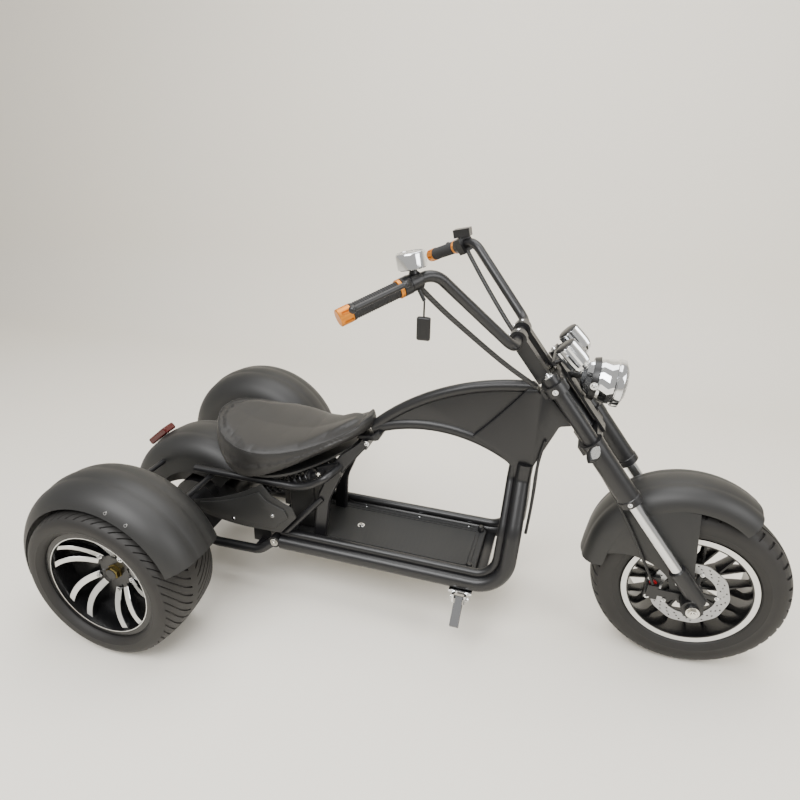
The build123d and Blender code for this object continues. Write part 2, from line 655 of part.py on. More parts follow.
LAMP_U = 96.0
LAMP_W = 82.0
LAMP_R = 58.0
lamp_turn = Pos(LAMP_U, 0, LAMP_W) * Rot(0, 90 + RAKE + 6, 0)
shell_profile = make_face(
    Curve()
    + [
        Line((0, -52), (26, -48)),
        ThreePointArc((26, -48), (52, -10), (LAMP_R, 46)),
        Polyline((LAMP_R, 46), (LAMP_R - 3, 46), (0, 46), (0, -52)),
    ]
)
shell = revolve(Plane.XZ * shell_profile, axis=Axis.Z)
lens = Pos(0, 0, 46.3 + 4) * Cylinder(LAMP_R - 4, 8)
save("headlamp", fork * lamp_turn * shell)
save("headlamp_lens", fork * lamp_turn * lens)
lamp_arm = Pos(37.3, 0, 84) * Box(6, 44, 232) + Pos(37.3, 0, 193) * Box(6, 140, 14)
lamp_arm += rod((40, 0, 135.9), (58.3, 0, 118.3), 9)
for side in (1, -1):
    aux_place = Pos(82, side * 62, 190) * Rot(0, 173, 0)
    lamp_arm += rod((38, side * 62, 193), (70, side * 62, 190), 5) - aux_place * Cylinder(28.3, 56)
save("lamp_bracket", fork * lamp_arm)
aux = []
for side in (1, -1):
    aux_place = Pos(82, side * 62, 190) * Rot(0, 173, 0)
    aux.append(fork * aux_place * (Cylinder(28, 56) + Pos(0, 0, 22) * Sphere(26)))
save("aux_lamps", *aux)
blinkers = []
for side in (1, -1):
    stalk = rod((20, side * 128, -20), (28, side * 172, 0), 5)
    stalk -= Pos(LEG_U, side * LEG_V, -20) * Cylinder(LEG_TUBE_R + 9.3, 100)
    leaf = Pos(30, side * 195, 2) * Rot(0, 0, side * 20) * Box(24, 62, 12)
    blinkers.append(fork * (stalk + leaf))
save("indicators", *blinkers)

# Hand controls on the bar
outer = Vector(grip_along.Y, -grip_along.X, 0).normalized()
levers = []
for side in (1, -1):
    root = bar_end - grip_along * (GRIP_LONG + 10)
    clamp = Plane(origin=root, z_dir=grip_along) * (Cylinder(20, 18) - Cylinder(BAR_R + 0.3, 60))
    start = root + outer * 22
    knee = root + outer * 50 + grip_along * 16
    tip = root + outer * 60 + grip_along * 138
    blade = rod(start, knee, 7) + rod(knee, tip, 5.5) + Pos(knee.X, knee.Y, knee.Z) * Sphere(7)
    blade += Pos(tip.X, tip.Y, tip.Z) * Sphere(8)
    lever = clamp + blade
    levers.append(fork * (lever if side == 1 else mirrored(lever)))
save("levers", *levers)

gauge_root = bar_end - grip_along * (GRIP_LONG + 33)
control_frame = Plane(origin=gauge_root, z_dir=grip_along)
gauge_stalk = control_frame * (Cylinder(19, 26) - Cylinder(BAR_R + 0.3, 60))
gauge_lift = Pos(gauge_root.X, gauge_root.Y, gauge_root.Z) * Rot(0, RAKE - 12, 0)
gauge = gauge_stalk + gauge_lift * (Pos(0, 0, 44) * Cylinder(31, 34) + Pos(0, 0, 24) * Cylinder(9, 14))
save("gauge", fork * mirrored(gauge))
reservoir = gauge_lift * (Pos(0, 0, 32) * Box(46, 40, 22))
switch_box = control_frame * (Box(44, 44, 26) - Cylinder(BAR_R + 0.3, 100))
save("switch_box", fork * (switch_box + reservoir))

looms = []
for side in (1, -1):
    points = [
        (-66, side * 250, 532),
        (-66, side * 222, 470),
        (-60, side * 168, 372),
        (-52, side * 120, 280),
        (-40, side * 92, 215),
        (-26, side * 78, 168),
    ]
    control = control_frame * (Box(44.6, 44.6, 26.6) if side == 1 else Cylinder(19.3, 26.6))
    looms.append(fork * (pipe(points, 6, [30, 60, 60, 60]) - (control if side == 1 else mirrored(control))))
save("looms", *looms)

# Front brake: caliper behind the right leg, carried by a plate on the foot's inner face
caliper_x = WHEELBASE - DISC_R + 6
foot_face = -(LEG_V - 20) + FACE_GAP
caliper = Pos(caliper_x, DISC_Y, FRONT_R) * Box(34, 22, 70)
caliper += Pos(caliper_x, (DISC_Y + foot_face) / 2 - 4, FRONT_R) * Box(26, DISC_Y - foot_face - 8, 36)
caliper += Pos(caliper_x + 30, foot_face + 2.7, FRONT_R) * Box(86, 5.4, 20)
caliper -= Pos(WHEELBASE, DISC_Y, FRONT_R) * Rot(90, 0, 0) * Cylinder(DISC_R + 2, DISC_THICK + 3)
caliper -= Pos(WHEELBASE, 0, FRONT_R) * Rot(90, 0, 0) * Cylinder(AXLE_R + FACE_GAP, 400)
save("brake_caliper", caliper)

reflectors = []
reflector_face = Pos(8, REAR_REACH - REFLECTOR_THICK / 2) * Rectangle(44, REFLECTOR_THICK)
reflector = Pos(0, guard_y, REAR_R) * guard(reflector_face, 161, 180)
save("reflectors", reflector, mirrored(reflector))

# Loose leads: two from the neck to the frame's front, and the front brake's hose
cables = []
for side, drop in ((1, 300), (-1, 330)):
    points = [(1060, side * 28.3, 600), (1046, side * 28.3, 540), (1040, side * 40, 400), (1028, side * 60, drop)]
    cables.append(pipe(points, 4, [60, 60]))
save("frame_cables", *cables)
hose_points = [(-12, -72, -32.3), (-14, -74, -120), (-20, -84, -240), (-46, -84, -380), (-60, -79, -442)]
save("brake_hose", fork * pipe(hose_points, 4, [60, 60, 40]))

# Key in the right-hand control with its fob hanging below
KEY_R = 4.0
key_way = Vector(-0.122, -0.106, -0.987)
key_root = Vector(gauge_root.X, -gauge_root.Y, gauge_root.Z)
key_low = (fork * Pos(*tuple(key_root + key_way * 44))).position
key = fork * rod(key_root, key_root + key_way * 44, KEY_R) - fork * mirrored(control_frame * Cylinder(19.3, 60))
key += rod(key_low, key_low + Vector(0, 0, -40), 2)
key += Pos(key_low.X, key_low.Y, key_low.Z - 60) * fillet(Box(30, 12, 52).edges(), 5)
save("key_fob", key)
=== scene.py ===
import bmesh
import bpy
import math
import numpy as np
from mathutils import Matrix, Vector
from mathutils.bvhtree import BVHTree


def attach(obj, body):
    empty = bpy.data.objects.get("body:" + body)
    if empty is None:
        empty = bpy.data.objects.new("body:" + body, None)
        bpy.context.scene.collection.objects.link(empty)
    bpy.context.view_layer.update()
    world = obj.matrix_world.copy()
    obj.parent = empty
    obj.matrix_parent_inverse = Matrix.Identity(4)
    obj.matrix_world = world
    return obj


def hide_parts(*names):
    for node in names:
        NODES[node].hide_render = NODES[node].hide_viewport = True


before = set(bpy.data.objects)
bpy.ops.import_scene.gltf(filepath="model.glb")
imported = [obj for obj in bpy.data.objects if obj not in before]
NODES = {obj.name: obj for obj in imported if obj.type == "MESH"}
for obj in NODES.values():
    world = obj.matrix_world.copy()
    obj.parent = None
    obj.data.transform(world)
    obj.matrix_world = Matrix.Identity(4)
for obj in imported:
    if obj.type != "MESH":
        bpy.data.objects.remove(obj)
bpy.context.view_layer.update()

# Places in metres, from the model's own named sizes. x is measured from the middle of the machine.
MIDDLE_X = 0.70985
FRONT_WHEEL = Vector((0.75515, 0.0, 0.243))
FRONT_R = 0.243
FRONT_HALF = 0.064
REAR_WHEEL_X = -0.70985
REAR_WHEEL_Y = 0.406
REAR_R = 0.228
REAR_HALF = 0.111
RIM_R = 0.152
RIM_FLANGE = 0.012
HEAD = Vector((0.43815, 0.0, 0.650))
RAKE = math.radians(38.0)
SIDES = (("left", 1), ("right", -1))

# Camera: the place, turn and tilt that the lower right view was taken from
CAMERA_AT = Vector((0.38115, -1.420, 1.305))
CAMERA_YAW = math.radians(106.88)
CAMERA_PITCH = math.radians(-23.98)
CAMERA_ROLL = math.radians(0.97)
FOCAL_PIXELS = 589.8
FRAME_PIXELS = 800.0
SENSOR_MM = 36.0


def linear(hex_colour):
    """An sRGB hex colour as linear red, green, blue and full alpha."""
    channels = [int(hex_colour[i:i + 2], 16) / 255 for i in (1, 3, 5)]
    return [c / 12.92 if c <= 0.04045 else ((c + 0.055) / 1.055) ** 2.4 for c in channels] + [1.0]


def linked(name, data):
    """A new object in the scene."""
    made = bpy.data.objects.new(name, data)
    bpy.context.scene.collection.objects.link(made)
    return made


def make_camera():
    forward = Vector((
        math.cos(CAMERA_PITCH) * math.cos(CAMERA_YAW),
        math.cos(CAMERA_PITCH) * math.sin(CAMERA_YAW),
        math.sin(CAMERA_PITCH),
    ))
    level = forward.cross(Vector((0, 0, 1))).normalized()
    over = level.cross(forward)
    right = level * math.cos(CAMERA_ROLL) + over * math.sin(CAMERA_ROLL)
    up = over * math.cos(CAMERA_ROLL) - level * math.sin(CAMERA_ROLL)
    camera = linked("camera", bpy.data.cameras.new("camera"))
    turn = Matrix((right, up, -forward)).transposed().to_4x4()
    camera.matrix_world = Matrix.Translation(CAMERA_AT) @ turn
    camera.data.sensor_width = SENSOR_MM
    camera.data.lens = FOCAL_PIXELS / FRAME_PIXELS * SENSOR_MM
    bpy.context.scene.camera = camera


def area_light(name, place, aim, size, power):
    lamp = bpy.data.lights.new(name, "AREA")
    lamp.shape = "RECTANGLE"
    lamp.size, lamp.size_y = size
    lamp.energy = power
    holder = linked(name, lamp)
    way = Vector(aim) - Vector(place)
    holder.matrix_world = Matrix.Translation(place) @ way.to_track_quat("-Z", "Y").to_matrix().to_4x4()


def add(tree, kind, links=(), **settings):
    """Adds a node. A link comes from a socket or from a node's first output, or is a plain value. A
    setting is one of the node's properties, or else one of its inputs."""
    node = tree.nodes.new(kind)
    for name, value in settings.items():
        if hasattr(node, name):
            setattr(node, name, value)
        else:
            node.inputs[name.replace("_", " ")].default_value = value
    for socket, source in links:
        if isinstance(source, bpy.types.Node):
            source = source.outputs[0]
        if isinstance(source, bpy.types.NodeSocket):
            tree.links.new(source, node.inputs[socket])
        else:
            node.inputs[socket].default_value = source
    return node


def new_material(name):
    """A material with its tree, its shader and its Object coordinates."""
    material = bpy.data.materials.new(name)
    material.use_nodes = True
    tree = material.node_tree
    shader = tree.nodes["Principled BSDF"]
    place = tree.nodes.new("ShaderNodeTexCoord").outputs["Object"]
    return material, tree, shader, place


def surface(tree, shader, factor, dark, light, height, depth_m):
    """Colours a shader between two tones by a factor, and raises its surface by a height."""
    tones = [("Factor", factor), (6, linear(dark)), (7, linear(light))]
    tone = add(tree, "ShaderNodeMix", tones, data_type="RGBA")
    tree.links.new(tone.outputs[2], shader.inputs["Base Color"])
    bump = add(tree, "ShaderNodeBump", [("Height", height)], Distance=depth_m)
    tree.links.new(bump.outputs["Normal"], shader.inputs["Normal"])


def coated(name, dark, light, roughness, grain_mm, depth_mm, metallic=0.0, cloud_mm=170.0):
    """Two near tones clouded over the piece, a grain of a real size, and roughness that varies with it."""
    material, tree, shader, place = new_material(name)
    cloud = add(tree, "ShaderNodeTexNoise", [("Vector", place)], Scale=1000.0 / cloud_mm, Detail=5.0)
    grain = add(tree, "ShaderNodeTexNoise", [("Vector", place)], Scale=1000.0 / grain_mm, Detail=2.0)
    surface(tree, shader, cloud, dark, light, grain, depth_mm / 1000)
    levels = {"To_Min": roughness - 0.06, "To_Max": roughness + 0.06}
    rough = add(tree, "ShaderNodeMapRange", [("Value", cloud)], **levels)
    tree.links.new(rough.outputs["Result"], shader.inputs["Roughness"])
    shader.inputs["Metallic"].default_value = metallic
    return material


# Powder coated steel tube: satin, with the faint peel of a baked coat
FRAME_COAT = coated("powder_coated_steel", "#121213", "#18181a", 0.37, 2.5, 0.08)
# Injection moulded guards: matte, with a spark eroded grain that dulls every highlight
GUARD_PLASTIC = coated("moulded_guard_plastic", "#1b1b1b", "#232322", 0.50, 1.2, 0.06)
# Small moulded housings, a little glossier than the guards
HOUSING_PLASTIC = coated("moulded_housing_plastic", "#111112", "#171718", 0.36, 1.0, 0.05)
# Cast aluminium with black enamel: fine sand texture under a satin coat
CAST_ENAMEL = coated("enamelled_casting", "#141415", "#1c1c1d", 0.36, 1.8, 0.10)
# Leatherette over foam: soft sheen, with a pebble grain drawn at 2 mm so that it shows
SADDLE_COVER = coated("saddle_leatherette", "#1c1b1a", "#242322", 0.48, 2.0, 0.22, cloud_mm=90.0)
# Brushed stainless steel of the disc and the axle
STEEL = coated("brushed_steel", "#9b9c9e", "#b6b7b9", 0.30, 0.9, 0.04, 1.0)
# Zinc plated screws: bright with a slightly warm cast
ZINC = coated("zinc_plated_steel", "#c6c4bd", "#dedcd6", 0.22, 0.9, 0.02, 1.0)
# Hard chrome on the fork's stanchions and the foot peg brackets
HARD_CHROME = coated("hard_chrome", "#d2d3d4", "#e2e3e4", 0.12, 6.0, 0.01, 1.0)
# Vacuum metallised lamp shells: bright, slightly wavy
LAMP_CHROME = coated("metallised_plastic", "#d9dbde", "#eceef0", 0.10, 14.0, 0.08, 1.0)
GRIP_RUBBER = coated("grip_rubber", "#171718", "#202021", 0.66, 1.0, 0.10)
ORANGE_ANODISED = coated("orange_anodised_aluminium", "#c4741c", "#d9892a", 0.30, 1.2, 0.04, 0.6)
RED_LENS = coated("red_acrylic_lens", "#3e0506", "#520808", 0.16, 3.0, 0.05)
# Smooth vinyl sheath of the single cables
CABLE_SHEATH = coated("cable_sheath", "#131314", "#1c1c1d", 0.48, 1.0, 0.05)
# Yellow passivated steel of the wheel nuts: brassy, slightly mottled
BRASSY_ZINC = coated("yellow_passivated_steel", "#5d5230", "#776a40", 0.34, 1.5, 0.05, 1.0, 12.0)
# Red enamel of the brake's piston caps
RED_ENAMEL = coated("red_enamelled_cap", "#8e1018", "#a3151d", 0.28, 2.0, 0.04)
# Dial under glass: near black card
DIAL_FACE = coated("printed_dial", "#101214", "#16181b", 0.45, 0.6, 0.01)
# Pale ink of the dial's marks
DIAL_INK = coated("dial_ink", "#c9cbc4", "#d6d8d0", 0.5, 0.6, 0.01)
# Welt and thread of the saddle: dull black cord
WELT_CORD = coated("saddle_welt", "#1b1a1a", "#232221", 0.62, 0.8, 0.06)

# Clear polycarbonate lens: almost no tint, sharp highlights
LAMP_GLASS, tree, shader, place = new_material("clear_polycarbonate")
shader.inputs["Base Color"].default_value = linear("#f4f6f8")
shader.inputs["Transmission Weight"].default_value = 0.92
shader.inputs["IOR"].default_value = 1.49
flow = add(tree, "ShaderNodeTexNoise", [("Vector", place)], Scale=60.0)
rough = add(tree, "ShaderNodeMapRange", [("Value", flow)], To_Min=0.02, To_Max=0.09)
tree.links.new(rough.outputs["Result"], shader.inputs["Roughness"])

# Spiral wrapped loom: nylon tape laid round the cables, a turn every 7 mm; painted shade and highlight run
# dark to light across each turn, so that its edge shows as rings
LOOM_WRAP, tree, shader, place = new_material("spiral_wrapped_loom")
turns = add(
    tree, "ShaderNodeTexWave", [("Vector", place)],
    bands_direction="Z", wave_profile="SAW", Scale=2 * math.pi / 20 / 0.007, Distortion=0.0,
).outputs["Fac"]
# painted shade and highlight: the tape's colour ramps from dark to light across each turn, on the same wave
# as its bump
surface(tree, shader, turns, "#0f0f10", "#343332", turns, 0.0008)
shader.inputs["Roughness"].default_value = 0.5

# Footboard rubber: fine ribs along the machine, 5 mm apart, and two near tones clouded over it
DECK_RUBBER, tree, shader, place = new_material("footboard_rubber")
ribs = add(
    tree, "ShaderNodeTexWave", [("Vector", place)],
    bands_direction="Y", Scale=2 * math.pi / 20 / 0.005, Distortion=0.0,
).outputs["Fac"]
cloud = add(tree, "ShaderNodeTexNoise", [("Vector", place)], Scale=7.0, Detail=6.0)
surface(tree, shader, cloud, "#191a1b", "#242423", ribs, 0.0006)
shader.inputs["Roughness"].default_value = 0.6

# Tyre rubber: dull black in two near tones, with a fine grain
TYRE_RUBBER, tree, shader, place = new_material("tyre_rubber")
cloud = add(tree, "ShaderNodeTexNoise", [("Vector", place)], Scale=9.0, Detail=6.0)
grain = add(tree, "ShaderNodeTexNoise", [("Vector", place)], Scale=620.0, Detail=2.0)
surface(tree, shader, cloud, "#131211", "#211f1d", grain, 0.0001)
shader.inputs["Roughness"].default_value = 0.62

# From this share of its normal on, a face counts as looking along the axle
CUT_FACING = 0.62


def rim_finish(name, centre, cut_from, cut_to, floor_at, floor_slope):
    """Gloss black enamel, turned back to bright metal on faces that look along the axle, between two
    radii, and stand outside a line that rises from the hub (floor_at) with floor_slope."""
    material, tree, shader, place = new_material(name)
    parts = add(tree, "ShaderNodeSeparateXYZ", [("Vector", place)])
    facing = add(tree, "ShaderNodeSeparateXYZ", [("Vector", place.node.outputs["Normal"])])
    x = add(tree, "ShaderNodeMath", [(0, parts.outputs["X"]), (1, centre.x)], operation="SUBTRACT")
    z = add(tree, "ShaderNodeMath", [(0, parts.outputs["Z"]), (1, centre.z)], operation="SUBTRACT")
    flat = add(tree, "ShaderNodeCombineXYZ", [("X", x), ("Y", z)])
    radius = add(tree, "ShaderNodeVectorMath", [(0, flat)], operation="LENGTH").outputs["Value"]
    outward = add(tree, "ShaderNodeMath", [(0, parts.outputs["Y"])], operation="ABSOLUTE")
    side = add(tree, "ShaderNodeMath", [(0, outward), (1, centre.y)], operation="SUBTRACT")
    rise = [(0, radius), (1, floor_slope), (2, floor_at)]
    line = add(tree, "ShaderNodeMath", rise, operation="MULTIPLY_ADD")
    turned = add(tree, "ShaderNodeMath", [(0, facing.outputs["Y"])], operation="ABSOLUTE")
    cut = None
    for test, value, limit in (
        ("GREATER_THAN", turned, CUT_FACING), ("GREATER_THAN", side, line),
        ("GREATER_THAN", radius, cut_from), ("LESS_THAN", radius, cut_to),
    ):
        holds = add(tree, "ShaderNodeMath", [(0, value), (1, limit)], operation=test)
        cut = add(tree, "ShaderNodeMath", [(0, cut), (1, holds)], operation="MULTIPLY") if cut else holds
    marks = add(tree, "ShaderNodeTexNoise", [("Vector", place)], Scale=900.0, Detail=1.0)
    surface(tree, shader, cut, "#101011", "#dcdcda", marks, 0.00003)
    for socket, low, high in (("Metallic", 0.0, 0.9), ("Roughness", 0.24, 0.32)):
        level = add(tree, "ShaderNodeMapRange", [("Value", cut)], To_Min=low, To_Max=high)
        tree.links.new(level.outputs["Result"], shader.inputs[socket])
    return material


# Cast aluminium rims: black enamel, with the spoke faces or the lip cut bright on a lathe
REAR_RIM_FINISH = rim_finish(
    "enamelled_rim_cut_spokes", Vector((REAR_WHEEL_X, REAR_WHEEL_Y, REAR_R)), 0.053, 0.149, -0.0010, 0.46
)
FRONT_RIM_FINISH = rim_finish("enamelled_rim_cut_lip", FRONT_WHEEL, 0.1505, 0.168, -1.0, 0.0)

# Finishes of the solids that show; the pieces below stand for the other solids
NODE_FINISH = {
    FRAME_COAT: [
        "seat_frame", "swing_arm", "fork_sleeves", "fork_tubes", "handlebar", "lamp_bracket", "fender_stays",
    ],
    GUARD_PLASTIC: ["battery_tray", "seat_pan", "controller_box", "plate_bracket"],
    HOUSING_PLASTIC: ["switch_box", "key_fob", "footpeg_left", "footpeg_right"],
    CAST_ENAMEL: ["lower_yoke", "upper_yoke", "risers", "fork_feet", "levers", "brake_caliper", "rear_axle"],
    STEEL: ["front_axle"],
    HARD_CHROME: ["footpeg_brackets"],
    RED_LENS: ["tail_lamp", "reflectors"],
}
for finish, names in NODE_FINISH.items():
    for name in names:
        materials = NODES[name].data.materials
        materials.clear()
        materials.append(finish)

ACROSS = Vector((0, 1, 0))
# The (origin, way) that each wheel turns about
FRONT_SPIN = (FRONT_WHEEL, ACROSS)
REAR_SPIN = {
    name: (Vector((REAR_WHEEL_X, side * REAR_WHEEL_Y, REAR_R)), ACROSS * side) for name, side in SIDES
}

# Finish, body and slot of the pieces that share them
ON_FRAME = (FRAME_COAT, "chassis", "frame_paint")
ON_DAMPER = (CAST_ENAMEL, "chassis", "cast_black")
CHASSIS_GUARD = (GUARD_PLASTIC, "chassis", "guard_plastic")
LAMP_SHELL = (LAMP_CHROME, "steering", "bright_chrome")
LAMP_BLACK = (HOUSING_PLASTIC, "steering", "bright_chrome")
BAR_PLASTIC = (HOUSING_PLASTIC, "steering", "black_plastic")
CLEAR_LENS = (LAMP_GLASS, "steering", "lamp_glass")
ORANGE_PART = (ORANGE_ANODISED, "steering", "orange_plastic")
FRONT_RIM = (FRONT_RIM_FINISH, "front_wheel", "rim_black")

# Frames that places are given in, in millimetres
CHASSIS = Matrix.Translation((-MIDDLE_X, 0, 0))
FORK = Matrix.Translation(HEAD) @ Matrix.Rotation(-RAKE, 4, "Y")
FRONT_AXLE = Matrix.Translation(FRONT_WHEEL)


def shifted(frame_matrix, x, y, z, turn_y=0.0):
    """A frame moved by millimetres, then turned by degrees about its own y."""
    move = Matrix.Translation((x / 1000, y / 1000, z / 1000))
    return frame_matrix @ move @ Matrix.Rotation(math.radians(turn_y), 4, "Y")


def at(frame_matrix, x, y, z):
    """The place of a point that is given in millimetres in a frame."""
    return frame_matrix @ Vector((x / 1000, y / 1000, z / 1000))


def toward(frame_matrix, x, y, z):
    """A frame's own direction, in the machine's axes."""
    return (frame_matrix.to_3x3() @ Vector((x, y, z))).normalized()


def new_piece(name, mesh, body):
    piece = linked(name, mesh)
    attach(piece, body)
    return piece


def smooth(mesh, sharp=None):
    """Shades a mesh smoothly, apart from its edges of more than sharp degrees."""
    mesh.polygons.foreach_set("use_smooth", [True] * len(mesh.polygons))
    if sharp:
        mesh.set_sharp_from_angle(angle=math.radians(sharp))


def about_y(radius, angle, y=0.0):
    """A point at a radius and an angle, from the front upward, about the y axis."""
    return Vector((radius * math.cos(angle), y, radius * math.sin(angle)))


def worked(mesh, modifiers):
    """The mesh after its modifiers: (kind, settings) each."""
    holder = linked("worked", mesh)
    for kind, settings in modifiers:
        modifier = holder.modifiers.new(kind, kind)
        for name, value in settings.items():
            setattr(modifier, name, value)
    graph = bpy.context.evaluated_depsgraph_get()
    result = bpy.data.meshes.new_from_object(holder.evaluated_get(graph))
    bpy.data.objects.remove(holder)
    result.name = mesh.name
    return result


def mesh_piece(name, points, faces, finish, body, slot, sharp=40.0, modifiers=()):
    """A closed mesh whose place is in its points, with its faces outward, riding on a body."""
    mesh = bpy.data.meshes.new(name)
    mesh.from_pydata([tuple(point) for point in points], [], faces)
    work = bmesh.new()
    work.from_mesh(mesh)
    bmesh.ops.remove_doubles(work, verts=work.verts, dist=1e-6)
    loose = [edge for edge in work.edges if not edge.link_faces]
    bmesh.ops.delete(work, geom=loose, context="EDGES")
    bmesh.ops.recalc_face_normals(work, faces=work.faces)
    work.to_mesh(mesh)
    work.free()
    if modifiers:
        mesh = worked(mesh, modifiers)
    smooth(mesh, sharp)
    mesh.materials.clear()
    mesh.materials.append(finish)
    return new_piece(name, mesh, body)


def ring_faces(rings, count, wrap_rings):
    """Quads between rings of count points, and from the last ring to the first where wrap_rings."""
    faces = []
    for ring in range(rings if wrap_rings else rings - 1):
        here, there = ring * count, (ring + 1) % rings * count
        for i in range(count):
            j = (i + 1) % count
            faces.append((here + i, here + j, there + j, there + i))
    return faces


def capped_faces(rings, count, base=0):
    """The faces of a row of rings with both ends closed, for points that start at base."""
    faces = ring_faces(rings, count, False)
    faces += [tuple(range(count)), tuple(range((rings - 1) * count, rings * count))]
    return [tuple(base + i for i in face) for face in faces]


def arc_through(start, middle, end, steps):
    """Points on the arc through three (across, radius) points."""
    (ax, ay), (bx, by), (cx, cy) = start, middle, end
    d = 2 * (ax * (by - cy) + bx * (cy - ay) + cx * (ay - by))
    ux = ((ax**2 + ay**2) * (by - cy) + (bx**2 + by**2) * (cy - ay) + (cx**2 + cy**2) * (ay - by)) / d
    uy = ((ax**2 + ay**2) * (cx - bx) + (bx**2 + by**2) * (ax - cx) + (cx**2 + cy**2) * (bx - ax)) / d
    radius = math.hypot(ax - ux, ay - uy)
    a0, a1, a2 = (math.atan2(y - uy, x - ux) for x, y in (start, middle, end))
    turn = (a2 - a0) % (2 * math.pi)
    if (a1 - a0) % (2 * math.pi) > turn:
        turn -= 2 * math.pi
    return [
        (ux + radius * math.cos(a0 + turn * t), uy + radius * math.sin(a0 + turn * t))
        for t in np.linspace(0, 1, steps)
    ]


def lathe(name, line, place, finish, body, slot, steps=48, sharp=40.0, sunk=None, facets=False):
    """A closed profile of (along, radius) points, in millimetres, turned about a frame's z or about an
    (origin, way). sunk gives the millimetres that a (ring, step) is sunk by; facets turns every second
    ring on by half a step."""
    origin, along = (at(place, 0, 0, 0), toward(place, 0, 0, 1)) if isinstance(place, Matrix) else place
    axis = Vector(along).normalized()
    first = Vector((0, 0, 1)) if abs(axis.z) < 0.9 else Vector((1, 0, 0))
    across = (first - axis * first.dot(axis)).normalized()
    third = axis.cross(across)
    points = []
    for index, (distance, radius) in enumerate(line):
        for k in range(steps):
            a = 2 * math.pi * (k + (index % 2) * 0.5 * facets) / steps
            spoke = across * math.cos(a) + third * math.sin(a)
            reach = max(0.0, radius - sunk(index, k)) if sunk else radius
            points.append(origin + axis * distance / 1000 + spoke * reach / 1000)
    return mesh_piece(name, points, ring_faces(len(line), steps, True), finish, body, slot, sharp)


def prism(name, outline, frame_matrix, low, high, finish, body, slot, chamfer=0.8):
    """A flat convex outline given a thickness along its frame's z, with chamfered edges."""
    widest = max(math.hypot(x, y) for x, y in outline)
    inset = 1 - chamfer / widest
    rings = [(low, inset), (low + chamfer, 1.0), (high - chamfer, 1.0), (high, inset)]
    points = [at(frame_matrix, x * share, y * share, z) for z, share in rings for x, y in outline]
    return mesh_piece(name, points, capped_faces(4, len(outline)), finish, body, slot)


def sweep_piece(name, line, profile, finish, body, slot, closed=False, side=None, sharp=40.0, modifiers=()):
    """A closed profile, in metres, carried along a line of points without twisting."""
    line = [Vector(point) for point in line]
    count = len(line)
    points = []
    for i, point in enumerate(line):
        back = line[i - 1] if i or closed else point
        on = line[(i + 1) % count] if i + 1 < count or closed else point
        way = (on - back).normalized()
        if side is None:
            side = way.orthogonal().normalized()
        side = (side - way * side.dot(way)).normalized()
        third = way.cross(side)
        points += [point + side * x + third * y for x, y in profile]
    steps = len(profile)
    faces = ring_faces(count, steps, True) if closed else capped_faces(count, steps)
    return mesh_piece(name, points, faces, finish, body, slot, sharp, modifiers)


def circle(radius, steps=10, x=0.0, y=0.0):
    turns = [2 * math.pi * k / steps for k in range(steps)]
    return [(x + radius * math.cos(a), y + radius * math.sin(a)) for a in turns]


def rounded(wide, high, radius, y=0.0, steps=8):
    """A rectangle with round corners, as a closed line."""
    line = []
    for corner, (sx, sy) in enumerate(((1, 1), (-1, 1), (-1, -1), (1, -1))):
        for t in np.linspace(0, math.pi / 2, steps):
            a = corner * math.pi / 2 + t
            across = sx * (wide / 2 - radius) + radius * math.cos(a)
            line.append((across, y + sy * (high / 2 - radius) + radius * math.sin(a)))
    return line


def filleted(points, radii):
    """Straight runs joined by arcs, as points close enough to look round."""
    points = [Vector(point) for point in points]
    line = [points[0]]
    for before, corner, after, radius in zip(points, points[1:], points[2:], radii):
        into, out = (corner - before).normalized(), (after - corner).normalized()
        turn = into.angle(out)
        tangent = corner - into * radius * math.tan(turn / 2)
        centre = corner + (out - into).normalized() * radius / math.cos(turn / 2)
        axis = into.cross(out).normalized()
        steps = max(6, int(turn / 0.09))
        for k in range(steps + 1):
            line.append(centre + Matrix.Rotation(turn * k / steps, 3, axis) @ (tangent - centre))
    return line + [points[-1]]


def plate(name, outline, low, high, finish, body, slot, edge_mm=1.5, modifiers=(), place=None):
    """A flat outline in the side view, given as (x, z), from one y to another, with rounded edges."""
    place = place or CHASSIS
    points = [at(place, x, y, z) for y in (low, high) for x, z in outline]
    bevel = ("BEVEL", {"width": edge_mm / 1000, "segments": 2, "limit_method": "ANGLE", "angle_limit": 0.6})
    faces = capped_faces(2, len(outline))
    return mesh_piece(name, points, faces, finish, body, slot, 35.0, (bevel, *modifiers))


def spot_tree(name, sizes, shape, finish):
    """A Geometry Nodes tree that sets one shape on every point, along the point's own way."""
    tree = bpy.data.node_groups.new(name, "GeometryNodeTree")
    tree.interface.new_socket(name="Geometry", in_out="INPUT", socket_type="NodeSocketGeometry")
    for label in sizes:
        tree.interface.new_socket(name=label, in_out="INPUT", socket_type="NodeSocketFloat")
    tree.interface.new_socket(name="Geometry", in_out="OUTPUT", socket_type="NodeSocketGeometry")
    entry = add(tree, "NodeGroupInput")
    way = add(tree, "GeometryNodeInputNamedAttribute", data_type="FLOAT_VECTOR", Name="way")
    scale = add(tree, "GeometryNodeInputNamedAttribute", data_type="FLOAT", Name="scale")
    turn = add(tree, "FunctionNodeAlignRotationToVector", [("Vector", way)], axis="Z")
    spots = add(tree, "GeometryNodeInstanceOnPoints", [
        ("Points", entry), ("Instance", shape(tree, entry.outputs)), ("Rotation", turn), ("Scale", scale),
    ])
    real = add(tree, "GeometryNodeRealizeInstances", [("Geometry", spots)])
    painted = add(tree, "GeometryNodeSetMaterial", [("Geometry", real)], Material=finish)
    add(tree, "NodeGroupOutput", [("Geometry", painted)])
    return tree


